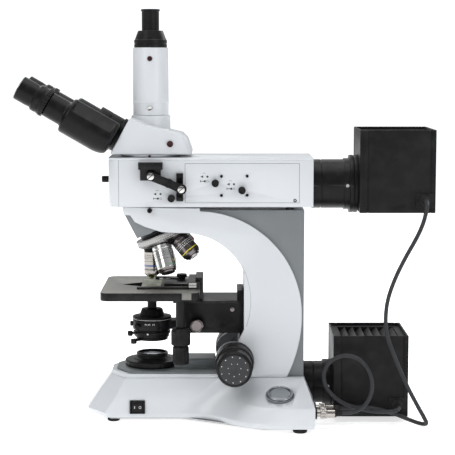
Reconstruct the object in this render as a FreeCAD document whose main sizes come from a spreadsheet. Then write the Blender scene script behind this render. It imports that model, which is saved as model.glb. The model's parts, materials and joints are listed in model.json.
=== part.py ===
import FreeCAD, Part
import math
import os
import re
import Sketcher
from FreeCAD import Placement, Rotation, Vector

# Upright trinocular microscope for reflected and transmitted light.
# Row frame: millimetres, +Z up, +X from the eyepieces towards the lamp houses, Z = 0 on the desk.
# The origin is under the middle of the footprint. Every x below is counted from the optical axis
# of the working objective, which stands at x = axis_x in the row frame.

doc = FreeCAD.newDocument("Microscope")
sheet = doc.addObject("Spreadsheet::Sheet", "Sizes")

SIZES = {
    # where things stand
    "axis_x": -98.81,
    "core_half": 40.0,
    "panel_out": 47.0,
    "arm_foot": 60.5,
    "arm_top": 285.7,
    "column_front": 125.0,
    "column_back": 205.4,
    # base
    "rim_z": 6.0,
    "skirt_z": 13.0,
    "wing_z": 34.0,
    "deck_z": 66.0,
    "wing_half": 118.0,
    "base_back": 217.0,
    "side_half": 51.0,
    # illuminator box
    "box_front": -55.0,
    "box_back": 216.6,
    "box_half": 50.0,
    "box_low": 290.6,
    "lid_low": 352.6,
    "box_top": 355.6,
    "box_wall": 3.0,
    # lamp houses
    "house_len": 100.4,
    "house_half": 52.0,
    "house_tall": 110.0,
    "house_wall": 2.5,
    "upper_x": 277.8,
    "upper_z": 282.7,
    "upper_axis": 317.8,
    "lower_x": 244.8,
    "lower_z": 8.0,
    "lower_axis": 45.0,
    # focus drive
    "focus_x": 112.0,
    "focus_z": 83.0,
    "boss_r": 25.0,
    "coarse_r": 25.5,
    "fine_r": 23.4,
    "pinion_r": 5.6,
    # nosepiece
    "apex_z": 286.5,
    "nose_tilt": 23.0,
    "turret_r": 38.5,
    # stage
    "stage_top": 180.0,
    "stage_thick": 11.0,
    "stage_front": -65.0,
    "stage_back": 66.0,
    "stage_half": 79.0,
    "knob_x": 41.0,
    "knob_y": -64.0,
    # condenser
    "iris_low": 108.3,
    "iris_r": 23.2,
    # field lens on the base
    "ring_r": 36.9,
    # head
    "head_low": 359.6,
    "head_half": 40.0,
    "tube_low": 410.3,
    "tube_top": 500.5,
    "port_top": 551.6,
    "hinge_x": -45.3,
    "hinge_z": 385.1,
    "eye_drop": 9.0,
    "eye_half": 32.0,
    "eye_tilt": 60.0,
    # cords
    "cord_r": 2.8,
}


def bound(formula):
    """Write a formula's sheet names the way an expression needs them."""
    return re.sub(r"[a-z]+_[a-z]+", r"Sizes.\g<0>", str(formula))


for line, (alias, size) in enumerate(SIZES.items(), 1):
    sheet.set("A%d" % line, alias)
    sheet.set("B%d" % line, str(size))
    sheet.setAlias("B%d" % line, alias)
doc.recompute()

NODES = {}


def real(formula):
    """Work a formula out from the sheet."""
    return float(sheet.evalExpression(bound(formula)))


def bind(thing, **sizes):
    for name, formula in sizes.items():
        thing.setExpression(name, bound(formula))
    return thing


def seat(thing, x=0, y=0, z=0, turn=None):
    """Place a piece at x from the optical axis, y and z, turned about its own origin."""
    thing.Placement = Placement(Vector(real("axis_x + (%s)" % x), real(y), real(z)), turn or Rotation())
    thing.setExpression("Placement.Base.x", bound("axis_x + (%s)" % x))
    thing.setExpression("Placement.Base.y", bound(y))
    thing.setExpression("Placement.Base.z", bound(z))
    return thing


def about_y(angle):
    return Rotation(Vector(0, 1, 0), angle)


ALONG = {
    "+X": Rotation(Vector(0, 1, 0), 90),
    "-X": Rotation(Vector(0, 1, 0), -90),
    "+Y": Rotation(Vector(1, 0, 0), -90),
    "-Y": Rotation(Vector(1, 0, 0), 90),
    "+Z": Rotation(),
}


def block(x_low, x_high, y_low, y_high, z_low, z_high):
    """A box between two corners."""
    box = doc.addObject("Part::Box", "Block")
    bind(box, Length="(%s) - (%s)" % (x_high, x_low), Width="(%s) - (%s)" % (y_high, y_low))
    bind(box, Height="(%s) - (%s)" % (z_high, z_low))
    return seat(box, x_low, y_low, z_low)


def rod(radius, length, x, y, z, way="+Z"):
    """A cylinder that starts at a point and runs one way."""
    cylinder = doc.addObject("Part::Cylinder", "Rod")
    bind(cylinder, Radius=radius, Height=length)
    return seat(cylinder, x, y, z, ALONG[way] if isinstance(way, str) else way)


def fuse(*pieces):
    union = doc.addObject("Part::MultiFuse", "Union")
    union.Shapes = list(pieces)
    union.Refine = True
    return union


def cut(base, *tools):
    """Take tools away from a base."""
    difference = doc.addObject("Part::Cut", "Difference")
    difference.Base = base
    difference.Tool = tools[0] if len(tools) == 1 else fuse(*tools)
    return difference


def group(*pieces):
    """Separate solids that share one node."""
    compound = doc.addObject("Part::Compound", "Group")
    compound.Links = list(pieces)
    return compound


def soften(base, radius, wanted):
    """Round the edges that wanted(edge) picks."""
    doc.recompute()
    edges = [n for n, edge in enumerate(base.Shape.Edges, 1) if wanted(edge)]
    fillet = doc.addObject("Part::Fillet", "Soft")
    fillet.Base = base
    fillet.Edges = [(n, radius, radius) for n in edges]
    return fillet


def runs(edge, axis):
    """True for a straight edge along one axis."""
    if edge.Curve.TypeId != "Part::GeomLine":
        return False
    return abs(abs(edge.tangentAt(edge.FirstParameter).dot(axis)) - 1) < 1e-6


X, Y, Z = Vector(1, 0, 0), Vector(0, 1, 0), Vector(0, 0, 1)


def origin_plane(body, role):
    return next(part for part in body.Origin.OriginFeatures if part.Role == role)


def tie(sketch, index, end, x, y):
    """Hold one end of a line or arc at two sheet formulas."""
    for formula, axis_line, kind in ((x, -2, "DistanceX"), (y, -1, "DistanceY")):
        if abs(real(formula)) < 1e-9:
            sketch.addConstraint(Sketcher.Constraint("PointOnObject", index, end, axis_line))
            continue
        number = sketch.addConstraint(Sketcher.Constraint(kind, -1, 1, index, end, real(formula)))
        sketch.setExpression("Constraints[%d]" % number, bound(formula))


def draw(sketch, steps):
    """Close an outline. A step is (x, y) for a line or (radius, bulge, x, y) for an arc to that point.

    bulge is +1 where the arc swells to the left of its chord and -1 where it swells to the right.
    """
    corners = [Vector(real(step[-2]), real(step[-1]), 0) for step in steps]
    ends = []
    for number, step in enumerate(steps):
        start, end = corners[number - 1], corners[number]
        if len(step) == 2:
            index = sketch.addGeometry(Part.LineSegment(start, end))
        else:
            radius = real(step[0])
            chord = end - start
            left = Vector(-chord.y, chord.x, 0).normalize() * step[1]
            rise = radius - math.sqrt(radius ** 2 - chord.Length ** 2 / 4)
            index = sketch.addGeometry(Part.Arc(start, (start + end) * 0.5 + left * rise, end))
            limit = sketch.addConstraint(Sketcher.Constraint("Radius", index, radius))
            sketch.setExpression("Constraints[%d]" % limit, bound(step[0]))
        first, last = (1, 2) if sketch.getPoint(index, 1).distanceToPoint(start) < 1e-6 else (2, 1)
        ends.append((index, first, last))
    for number, (index, first, last) in enumerate(ends):
        tie(sketch, index, last, steps[number][-2], steps[number][-1])
        following, begins, _ = ends[(number + 1) % len(ends)]
        sketch.addConstraint(Sketcher.Constraint("Coincident", index, last, following, begins))


def sketched(plane, steps):
    """A body with one sketch on one of its origin planes."""
    body = doc.addObject("PartDesign::Body", "Body")
    sketch = body.newObject("Sketcher::SketchObject", "Outline")
    sketch.AttachmentSupport = [(origin_plane(body, plane), "")]
    sketch.MapMode = "FlatFace"
    draw(sketch, steps)
    return body, sketch


def turned(steps, x=0, y=0, z=0, turn=None):
    """A lathe part: (radius, height) steps turned about the piece's own Z axis."""
    body, sketch = sketched("XZ_Plane", steps)
    lathe = body.newObject("PartDesign::Revolution", "Turned")
    lathe.Profile = sketch
    lathe.ReferenceAxis = (sketch, ["V_Axis"])
    lathe.Angle = 360
    return seat(body, x, y, z, turn)


def slab(steps, half):
    """A side profile in X and Z, as thick to each side of the middle plane."""
    body, sketch = sketched("XZ_Plane", steps)
    pad = body.newObject("PartDesign::Pad", "Slab")
    pad.Profile = sketch
    pad.Midplane = True
    bind(pad, Length="2 * (%s)" % half)
    return seat(body)


def plate(steps, z_low, z_high):
    """A plan outline in X and Y between two heights."""
    body, sketch = sketched("XY_Plane", steps)
    pad = body.newObject("PartDesign::Pad", "Plate")
    pad.Profile = sketch
    bind(pad, Length="(%s) - (%s)" % (z_high, z_low))
    return seat(body, 0, 0, z_low)


def mirrored(steps):
    """A plan outline from its near half: the far half repeats it with y turned over."""
    back = []
    for number in range(len(steps) - 1, -1, -1):
        following = steps[number + 1] if number + 1 < len(steps) else ()
        x, y = steps[number][-2:]
        flipped = (x, "-(%s)" % y)
        back.append(following[:2] + flipped if len(following) == 4 else flipped)
    return steps + back


def node(name, piece):
    piece.Label = name
    NODES[name] = piece
    return piece


# ---------------------------------------------------------------- base


def base_level(z, nose, nose_half, shoulder, side, flare_start, flare_end, wing, back):
    """One level of the base: blunt nose, straight sides, S-shaped flare and square rear wings."""
    run = "((%s) - (%s)) / 2" % (flare_end, flare_start)
    rise = "((%s) - (%s)) / 2" % (wing, side)
    bend = "((%s)^2 + (%s)^2) / (2 * (%s))" % (run, rise, rise)
    middle = ("((%s) + (%s)) / 2" % (flare_start, flare_end), "-((%s) + (%s)) / 2" % (side, wing))
    near = [
        (nose, "-(%s)" % nose_half),
        (shoulder, "-(%s)" % side),
        (flare_start, "-(%s)" % side),
        (bend, 1) + middle,
        (bend, -1, flare_end, "-(%s)" % wing),
        (back, "-(%s)" % wing),
    ]
    sketch = doc.addObject("Sketcher::SketchObject", "Level")
    draw(sketch, mirrored(near))
    return seat(sketch, 0, 0, z)


def loft(*levels):
    skin = doc.addObject("Part::Loft", "Loft")
    skin.Sections = list(levels)
    skin.Solid = True
    skin.Ruled = True
    return skin


def base_casting():
    levels = [
        base_level("rim_z", -80, 18, -57, "side_half - 3", 30, 178, "wing_half - 3", "base_back - 2"),
        base_level("skirt_z", -88, 18, -62, "side_half", 30, 178, "wing_half", "base_back"),
        base_level("wing_z", -74, 18, -48, "side_half", 60, 186, "wing_half", "base_back"),
        base_level("arm_foot", -55, 18, -34, "side_half - 1", 90, 190, "side_half + 2", 206),
    ]
    plateau = plate(mirrored([(-54, -18), (-33, -49.6), (99, -49.6)]), "arm_foot", "deck_z")
    body = fuse(loft(*levels), plateau)
    dial_bore = rod(18.7, 8, 172, -88, 43.4, Rotation(X, 20.4))
    lens_bore = rod(20, 30, 0, 0, 50)
    hollows = [
        block(-50, -28, -16, 16, 0, 54),
        block(-28, 100, -44, 44, 0, 56),
        block(100, 203, -44, 44, 0, 54),
        block(150, 168, -103, 103, 0, 29),
        block(168, 212, -111, 111, 0, 29),
        block(113, 135, -14, 14, 50, 62),
        block(-28, -8, -60, -40, 12, 30),
        block(206, 230, -29, 29, 16, 80),
        block(205, 230, 62, 90, 9, 29),
    ]
    sockets = [rod(7, 20, 205, y, 22, "+X") for y in (-90, -62)]
    knob_room = rod("coarse_r + 0.7", 300, "focus_x", -150, "focus_z", "+Y")
    node("base_casting", cut(body, dial_bore, lens_bore, knob_room, *(hollows + sockets)))


def base_deck():
    floor = plate(mirrored([(-47, -17), (-28, -47.5), (99, -47.5)]), "deck_z", "deck_z + 3")
    spine = block(30, 99, -22, 22, "deck_z + 3", "deck_z + 15")
    collar = rod(20, 15, 0, 0, "deck_z + 3")
    clearance = rod("ring_r + 0.6", 30, 0, 0, "deck_z + 3")
    raised = soften(spine, 4, lambda edge: runs(edge, X) and edge.CenterOfMass.z > 70)
    whole = fuse(floor, cut(raised, clearance), collar)
    knob_room = rod("coarse_r + 0.7", 200, "focus_x", -100, "focus_z", "+Y")
    node("base_deck", cut(whole, rod(16.8, 40, 0, 0, 50), knob_room))


def bottom_plate():
    near = [(-74, -16), (-54, -44), (40, -44), (150, -106), (208, -106)]
    node("bottom_plate", plate(mirrored(near), "rim_z - 2.5", "rim_z"))


def rubber_feet():
    feet = []
    for x, y, radius in ((-50.7, 38, 8.5), (197.8, 104, 9.5)):
        for side in (-1, 1):
            steps = [(0, 0), (radius - 1.5, 0), (radius, 1.5), (radius, 3.4), (0, 3.4)]
            feet.append(turned(steps, x, side * y, 0))
    node("rubber_feet", group(*feet))


def power_supply():
    """Board on the bottom plate with a transformer and a capacitor."""
    board = block(20, 96, -30, 30, "rim_z", "rim_z + 2")
    core = block(30, 66, -18, 18, "rim_z + 2", 44)
    coil = block(36, 60, -24, 24, 14, 42)
    capacitor = rod(7, 24, 80, -14, "rim_z + 2")
    node("power_supply", fuse(board, core, coil, capacitor))


def panel_fittings():
    frame = cut(block(-27.9, -8.1, -53.2, -44, 12.1, 29.9), block(-26, -10, -60, -45, 14, 28))
    parts = [frame]
    for y in (-90, -62):
        barrel = rod(6.9, 12, 207, y, 22, "+X")
        nut = rod(8, 3.6, "base_back", y, 22, "+X")
        parts.append(cut(fuse(barrel, nut), rod(5, 10, "base_back - 4", y, 22, "+X")))
    inlet = block(205.2, 218.5, 62.2, 89.8, 9.2, 28.8)
    parts.append(cut(inlet, block(208, 230, 66, 86, 12.5, 25.5)))
    node("panel_fittings", group(*parts))


def stand_optics():
    lens = turned([(0, 81), (16.7, 81), (16.7, 83.4), (12, 84.9), (6, 86), (0, 86.4)])
    base_mirror = seat(doc.addObject("Part::Box", "Mirror"), -17, -14, 25, about_y(-45))
    bind(base_mirror, Length=44, Width=28, Height=3)
    half_mirror = seat(doc.addObject("Part::Box", "Mirror"), -14, -16, 308, about_y(-45))
    bind(half_mirror, Length=40, Width=32, Height=2)
    node("stand_optics", group(lens, base_mirror, half_mirror))


# ---------------------------------------------------------------- arm

INNER_BEND = 87.2
OUTER_BEND = 139.4
LOWER_BEND = 182.0


def turret_room():
    """Space the turret and its objectives sweep, about the tilted nosepiece axis."""
    tilt = about_y(-real("nose_tilt"))
    steps = [(0, -28.9), (41, -28.9), (41, -50), (60, -95), (0, -95)]
    return turned(steps, 0, 0, "apex_z", tilt)


def arm_core():
    outline = [
        (-34, "box_low"),
        (64, "box_low"),
        (64, "arm_top"),
        ("column_back", "arm_top"),
        ("column_back", "arm_foot"),
        (99.3, "arm_foot"),
        (99.3, 92),
        (115.8, 104.4),
        ("column_front", 125),
        ("column_front", 204),
        (INNER_BEND, -1, 40, 255.4),
        (10, 257.8),
        (-17.5, 247.7),
        (-34, 279.7),
    ]
    body = slab(outline, "core_half")
    bosses = [rod("boss_r", 11, "focus_x", 34, "focus_z", "+Y"), rod("boss_r", 11, "focus_x", -34, "focus_z", "-Y")]
    carriage_room = block(80, "column_front", -33.5, 33.5, 40, 240)
    groove = block("column_front - 1", "column_front + 4.4", -8, 8, 55, 215)
    shaft = rod(7.05, 200, "focus_x", -100, "focus_z", "+Y")
    light = rod(12, 60, 0, 0, 245)
    node("arm_core", cut(fuse(body, *bosses), carriage_room, groove, shaft, light, turret_room()))


def side_panels():
    outline = [
        (-36.5, 290.3),
        (66.3, 288.6),
        (66.3, 284.6),
        (79.3, 283.7),
        (OUTER_BEND, 1, 202.4, 145.3),
        (LOWER_BEND, 1, 182.2, "arm_foot"),
        (99.3, "arm_foot"),
        (99.3, 92),
        (115.8, 104.4),
        ("column_front", 125),
        ("column_front", 204),
        (INNER_BEND, -1, 40, 255.4),
        (15.5, 256.9),
        (-6.6, 263.9),
        (-20.1, 270.4),
        (-26.1, 279.2),
        (-34.5, 279.7),
    ]
    both = cut(slab(outline, "panel_out"), slab([(-60, 40), (230, 40), (230, 300), (-60, 300)], "core_half"))
    hole = rod("boss_r + 1.2", 200, "focus_x", -100, "focus_z", "+Y")
    node("side_panels", cut(both, hole))


# ---------------------------------------------------------------- reflected-light illuminator


def illuminator_box():
    shell = block("box_front", "box_back", "-box_half", "box_half", "box_low", "lid_low")
    shell = soften(shell, 16, lambda edge: runs(edge, Z) and edge.CenterOfMass.x < -100)
    low = ("box_front + box_wall", "box_back - box_wall", "box_wall - box_half", "box_half - box_wall")
    hollow = block(*low, "box_low + box_wall", 400)
    hollow = soften(hollow, 13, lambda edge: runs(edge, Z) and edge.CenterOfMass.x < -100)
    holes = [
        rod(14, 20, 0, 0, 280),
        rod(28, 20, 205, 0, "upper_axis", "+X"),
        rod(2.1, 20, -60, 0, 324, "+X"),
    ]
    holes += [rod(2.1, 20, x, -55, z, "+Y") for x, z in ((28.9, 302.8), (86.9, 322.9), (122.1, 313.5))]
    node("illuminator_box", cut(shell, hollow, *holes))


def illuminator_lid():
    top = block("box_front", "box_back", "-box_half", "box_half", "lid_low", "box_top")
    top = soften(top, 16, lambda edge: runs(edge, Z) and edge.CenterOfMass.x < -100)
    node("illuminator_lid", cut(top, rod(22, 20, 0, 0, 350)))


def slot_block():
    bracket = block(-14.2, 17.6, "-box_half - 12", "-box_half", 341, 350.3)
    body = block(-11.9, 15.2, "-box_half - 10", "-box_half", 326.6, 341)
    pin_slot = block(-1.6, 6.2, "-box_half - 12", "-box_half - 4", 325, 340)
    channel = block(35.5, 44.5, "-box_half - 6", "-box_half", 298.9, 335.8)
    channel_slot = block(37, 43, "-box_half - 8", "-box_half - 1", 304, 330)
    post = rod(5, 11.5, 25.7, "-box_half", 323.5, "-Y")
    pin = rod(2.5, 18, 25.7, "-box_half", 323.5, "-Y")
    node("slot_block", group(cut(fuse(bracket, body), pin_slot), cut(channel, channel_slot), fuse(post, pin)))


def case_screws():
    """Cap screws in the box and the set screws that lock the box and the head."""
    screws = [rod(1.9, 4, x, "-box_half + 1", z, "-Y") for x, z in ((95, 331.5), (95, 306.2), (129, 331.8), (129, 306.5))]
    screws.append(rod(2.2, 2, 192.4, "-box_half + 1", 299.2, "-Y"))
    screws.append(rod(3.2, 8, 0, "-box_half + 4", 286.2, "-Y"))
    screws.append(rod(5.5, 4.9, 186, -34, "arm_top"))
    node("case_screws", group(*screws))


# ---------------------------------------------------------------- lamps

HOUSES = (("upper_x", "upper_z", "upper_axis"), ("lower_x", "lower_z", "lower_axis"))


def lamp_houses():
    houses = []
    for x, z, axis in HOUSES:
        shell = block(x, x + " + house_len", "-house_half", "house_half", z, z + " + house_tall")
        shell = soften(shell, 1.5, lambda edge: runs(edge, X) or runs(edge, Z))
        walls = (x + " + house_wall", x + " + house_len - house_wall", "house_wall - house_half", "house_half - house_wall")
        hollow = block(*walls, z + " + house_wall", z + " + house_tall + 5")
        mouth = rod(22, 10, x + " - 5", 0, axis, "+X")
        cord_hole = rod(4.2, 10, x + " + 86.1", "-house_half - 5", z + " + 16.3", "+Y")
        grooves = []
        for offset in (10.4, 93.4):
            band = (x + " + %s" % offset, x + " + %s" % (offset + 0.7), "-house_half - 1", "house_half + 1")
            ring = cut(block(*band, z + " - 1", z + " + house_tall + 1"),
                       block(x, x + " + house_len", "0.6 - house_half", "house_half - 0.6", z + " + 0.6",
                             z + " + house_tall - 0.6"))
            grooves.append(ring)
        houses.append(cut(shell, hollow, mouth, cord_hole, *grooves))
    node("lamp_houses", group(*houses))


def lamp_grilles():
    """A finned lid, recessed into the top of each house."""
    lids = []
    for x, z, _ in HOUSES:
        low, high = z + " + house_tall - 14", z + " + house_tall - 4"
        outer = block(x + " + 2.5", x + " + house_len - 2.5", "2.5 - house_half", "house_half - 2.5", low, high)
        opening = block(x + " + 12", x + " + house_len - 12", "12 - house_half", "house_half - 12",
                        z + " + house_tall - 30", z + " + house_tall")
        fins = []
        for number in range(9):
            left = "%s + 14.5 + %s" % (x, number * 8.3)
            fins.append(block(left, left + " + 3", "11 - house_half", "house_half - 11", low, high))
        lids.append(fuse(cut(outer, opening), *fins))
    node("lamp_grilles", group(*lids))


def lamp_tubes():
    upper = fuse(
        rod(33, 43, "box_back", 0, "upper_axis", "+X"),
        rod(34.5, 8, 259.5, 0, "upper_axis", "+X"),
        rod(39, "upper_x - 267", 267, 0, "upper_axis", "+X"),
    )
    lower = fuse(
        rod(28.5, 29, 206, 0, "lower_axis", "+X"),
        rod(31, "lower_x - 233", 233, 0, "lower_axis", "+X"),
    )
    bores = [rod(21, 80, 210, 0, "upper_axis", "+X"), rod(21, 80, 200, 0, "lower_axis", "+X")]
    node("lamp_tubes", group(cut(upper, bores[0]), cut(lower, bores[1])))


def halogen_lamps():
    """Capsule bulb in its ceramic socket on a bracket, one in each house."""
    lamps = []
    for x, z, axis in HOUSES:
        centre = x + " + 45"
        socket = rod(11, 12, centre, 0, axis + " - 26")
        capsule = fuse(rod(6, 20, centre, 0, axis + " - 14"), rod(3.5, 4, centre, 0, axis + " + 6"))
        lamps.append(fuse(socket, capsule, block(centre + " - 16", centre + " + 16", -16, 16,
                                                 z + " + house_wall", axis + " - 26")))
    node("halogen_lamps", group(*lamps))


GLANDS = (("upper_x + 86.1", "upper_z + 16.3"), ("lower_x + 86.1", "lower_z + 16.3"))


def cord_glands():
    glands = []
    for x, z in GLANDS:
        steps = [(0, 0), (4, 0), (4, 4.5), (7.5, 4.5), (7.5, 7), (4.4, 8.5), (3.2, 22), (0, 22)]
        glands.append(turned(steps, x, "-house_half + 4.5", z, ALONG["-Y"]))
    node("cord_glands", group(*glands))


# ---------------------------------------------------------------- cords

UPPER_ROUTE = [
    (363.9, -69.5, 299),
    (363.4, -79, 297.5),
    (361.6, -85, 289),
    (357.5, -86, 272),
    (348.5, -86, 252),
    (337.0, -86, 232),
    (323.0, -86, 204),
    (312.5, -85, 174),
    (309.8, -84, 148),
    (312.0, -83, 124),
    (322.5, -82, 96),
    (339.4, -82, 57),
    (354.0, -83, 30),
    (362.5, -84, 15),
    (366.8, -82, 6.4),
    (365.0, -75.5, 3.4),
    (356.5, -71, 4.0),
    (344.5, -68, 8),
    (327.5, -65, 14.5),
    (307.0, -63, 20.5),
    (285.0, -62, 23.5),
    (268.0, -62, 22.4),
    (254.0, -62, 22),
]

LOWER_ROUTE = [
    (330.9, -69.5, 24.3),
    (328.5, -79.5, 23.5),
    (319.0, -83.5, 22.4),
    (302.0, -81, 21.4),
    (279.0, -77, 24),
    (253.0, -76, 33),
    (234.5, -76, 50),
    (228.5, -77, 71),
    (237.5, -79, 90),
    (258.0, -81, 99),
    (280.0, -83, 92),
    (292.5, -85, 72),
    (294.0, -87, 52),
    (287.5, -89, 36),
    (276.5, -90, 26),
    (265.0, -90, 22.4),
    (254.0, -90, 22),
]

RADIUS_SHARE = 0.45


def cord(name, route):
    """Straight runs joined by tangent arcs, each as large as its two runs allow."""
    radius = real("cord_r")
    points = [Vector(real("axis_x") + x, y, z) for x, y, z in route]
    edges, radii = [], []
    start = points[0]
    for before, corner, after in zip(points, points[1:], points[2:]):
        arriving, leaving = (corner - before), (after - corner)
        reach = RADIUS_SHARE * min(arriving.Length, leaving.Length)
        half_turn = arriving.getAngle(leaving) / 2
        arriving.normalize()
        leaving.normalize()
        into, out = corner - arriving * reach, corner + leaving * reach
        bend = reach / math.tan(half_turn)
        radii.append(bend)
        inward = (leaving - arriving).normalize()
        middle = corner + inward * (bend / math.cos(half_turn) - bend)
        edges.append(Part.LineSegment(start, into).toShape())
        edges.append(Part.Arc(into, middle, out).toShape())
        start = out
    edges.append(Part.LineSegment(start, points[-1]).toShape())
    path = Part.Wire(edges)
    profile = Part.Wire(Part.makeCircle(radius, points[0], points[1] - points[0]))
    tube = path.makePipeShell([profile], True, False)
    section = math.pi * radius ** 2
    print("%s: length %.1f, smallest radius %.1f, volume over section %.4f"
          % (name, path.Length, min(radii), tube.Volume / (section * path.Length)))
    lead = doc.addObject("Part::Feature", "Cord")
    lead.Shape = tube
    node(name, lead)


def plug(name, y):
    steps = [(0, 0), (4.8, 0), (4.8, 5), (7, 5), (7, 13), (6, 14), (6, 24), (4.6, 26), (3.4, 33.5), (0, 33.5)]
    node(name, turned(steps, "base_back + 3.6 - 0.1", y, 22, ALONG["+X"]))


# ---------------------------------------------------------------- base controls


def switch_rocker():
    steps = [(-7.1, 0), (-7.1, 4.2), (0, 2.8), (7.1, 4.2), (7.1, 0), (0, -1.5)]
    body, sketch = sketched("XY_Plane", [(x, "-(%s)" % y) for x, y in steps])
    pad = body.newObject("PartDesign::Pad", "Rocker")
    pad.Profile = sketch
    bind(pad, Length=13.2)
    pivot = rod(1.2, 13.9, -18, -49.5, 14.05)
    node("switch_rocker", fuse(seat(body, -18, -49.5, 14.4), pivot))


def dial():
    steps = [(0, 0), (18.2, 0), (18.2, 5), (16.6, 6.4), (14.5, 6.4), (13.6, 4.9), (0, 4.4)]
    node("dial", turned(steps, 172, -88, 43.6, Rotation(X, 20.4)))


def field_ring():
    steps = [
        (20.1, 69.3),
        ("ring_r - 1", 69.3),
        ("ring_r", 70.3),
        ("ring_r", 76.5),
        ("ring_r - 1.2", 77.7),
        (26, 77.7),
        (23.5, 80),
        (21.5, 81),
        (21.5, 86),
        (20.5, 87),
        (18.4, 87),
        (18.4, 84.6),
        (20.1, 84.6),
    ]
    node("field_ring", turned(steps))


# ---------------------------------------------------------------- focus


def pinion_outline(teeth, module, outer, inner):
    """Straight-sided teeth with a little backlash, one tooth pointing along +X."""
    points = []
    step = 2 * math.pi / teeth
    pitch = teeth * module / 2
    for number in range(teeth):
        centre = number * step
        for radius, share in ((inner, -0.27), (outer, -0.12), (outer, 0.12), (inner, 0.27)):
            angle = centre + share * step * pitch / radius
            points.append(Vector(radius * math.cos(angle), 0, radius * math.sin(angle)))
    return points


def toothed(points, width, middle):
    wire = Part.makePolygon(points + points[:1])
    solid = Part.Face(wire).extrude(Vector(0, width, 0))
    feature = doc.addObject("Part::Feature", "Teeth")
    feature.Shape = solid
    feature.Placement = Placement(middle - Vector(0, width / 2, 0), Rotation())
    return feature


PINION_TEETH = 14
PINION_MODULE = 0.8


def coarse_knobs():
    pinion = toothed(pinion_outline(PINION_TEETH, PINION_MODULE, 6.2, 4.7), 9,
                     Vector(real("axis_x + focus_x"), 0, real("focus_z")))
    parts = [pinion, rod(5.0, 152, "focus_x", -76, "focus_z", "+Y")]
    parts += [rod(7, 46, "focus_x", side * 16, "focus_z", way) for side, way in ((1, "+Y"), (-1, "-Y"))]
    for way, side in (("+Y", 1), ("-Y", -1)):
        steps = [(0, 46), ("coarse_r - 1", 46), ("coarse_r", 47), ("coarse_r", 74), ("coarse_r - 2", 76), (0, 76)]
        parts.append(turned(steps, "focus_x", 0, "focus_z", ALONG[way]))
    node("coarse_knobs", cut(fuse(*parts), rod(2.6, 200, "focus_x", -100, "focus_z", "+Y")))


def fine_knobs():
    parts = [rod(2.54, 190, "focus_x", -95, "focus_z", "+Y")]
    for way in ("+Y", "-Y"):
        steps = [
            (0, 76.6),
            ("fine_r - 1", 76.6),
            ("fine_r", 77.6),
            ("fine_r", 102.6),
            ("fine_r - 2.4", 105),
            (0, 105),
        ]
        parts.append(turned(steps, "focus_x", 0, "focus_z", ALONG[way]))
    node("fine_knobs", fuse(*parts))


RACK_PITCH = math.pi * PINION_MODULE


def focus_rack():
    """A rack whose tooth space faces the pinion at the height of its axis."""
    pitch_line = real("axis_x + focus_x + pinion_r")
    tip, root, back = pitch_line - 0.55, pitch_line + 0.95, pitch_line + 2.4
    low, high = 80.0, 112.0
    points = [Vector(back, 0, high), Vector(back, 0, low), Vector(root, 0, low)]
    first = math.ceil((low + 1 - real("focus_z")) / RACK_PITCH - 0.5)
    centre = real("focus_z") + (first + 0.5) * RACK_PITCH
    while centre + 1 < high:
        points += [Vector(root, 0, centre - 0.75), Vector(tip, 0, centre - 0.28)]
        points += [Vector(tip, 0, centre + 0.28), Vector(root, 0, centre + 0.75)]
        centre += RACK_PITCH
    points.append(Vector(root, 0, high))
    node("focus_rack", toothed(points, 8, Vector(0, 0, 0)))


# ---------------------------------------------------------------- stage and condenser


def stage_carrier():
    body = block(46, 116, -30, 30, 118, 160)
    shelf = block(30, 118, -38, 38, 160, 163)
    rail = block(116, "column_front - 0.4", -30, 30, 118, 176)
    tail = block(120, "column_front - 0.4", -12, 12, 80, 118)
    tongue = block("column_front - 1", "column_front + 4.1", -7.7, 7.7, 84, 174)
    window = block(52, 110, -22, 22, 112, 154)
    knob_bore = rod(3.1, 30, 62, -40, 129, "+Y")
    node("stage_carrier", cut(fuse(body, shelf, rail, tail, tongue), window, knob_bore))


def stage_plate():
    top = block("stage_front", "stage_back", "-stage_half", "stage_half", "stage_top - stage_thick", "stage_top")
    top = soften(top, 12, lambda edge: runs(edge, Z))
    slot = plate(mirrored([(-39, -1), (-26, -11), (-13, -18), (13, -18), (24, -11), (34, -1)]), 160, 190)
    rails = [block(-30, 60, side - 4, side + 4, 163.3, "stage_top - stage_thick") for side in (-24, 24)]
    post = rod(6.5, 38, "knob_x", "knob_y", 131.3)
    bore = rod(4.15, 34, "knob_x", "knob_y", 130)
    node("stage_plate", cut(fuse(top, post, *rails), slot, bore))


def slide_holder():
    deck_low = "stage_top + 0.3"
    parts = [
        block(-18, 52, -46, -38.3, deck_low, "stage_top + 2.8"),
        block(13.3, 18, -40, 44, deck_low, "stage_top + 2.8"),
        block(18, 54, -16, 34, deck_low, "stage_top + 2.8"),
        block(50, 66, -46, 34, deck_low, "stage_top + 9"),
        block(66.3, 70, -34, 22, 163.5, "stage_top + 9"),
        block(60, 70, -34, 22, "stage_top + 3", "stage_top + 14"),
    ]
    pin = rod(1.5, 10, 40, 26, deck_low)
    node("slide_holder", fuse(pin, *parts))


def slide_clip():
    hub = rod(5, 8, 40, 26, "stage_top + 3.1")
    outline = [(40, 21.5), (41, 30.5), (9, 46), (3, 46), (3, 38.6), (8, 38.6), (12, 40.5)]
    arm = plate(outline, "stage_top + 3.1", "stage_top + 4.6")
    tip = block(3, 8.5, 38.6, 45, "stage_top + 0.6", "stage_top + 3.2")
    node("slide_clip", cut(fuse(hub, arm, tip), rod(1.56, 40, 40, 26, 170)))


def glass_slide():
    node("glass_slide", block(-13, 13, -38, 38, "stage_top + 0.3", "stage_top + 1.4"))


def x_knob():
    steps = [
        (2.56, 108.5),
        (11.8, 108.5),
        (12.8, 109.5),
        (12.8, 127),
        (10.5, 131),
        (4.08, 131),
        (4.08, 160),
        (2.56, 160),
    ]
    node("x_knob", turned(steps, "knob_x", "knob_y", 0))


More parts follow.
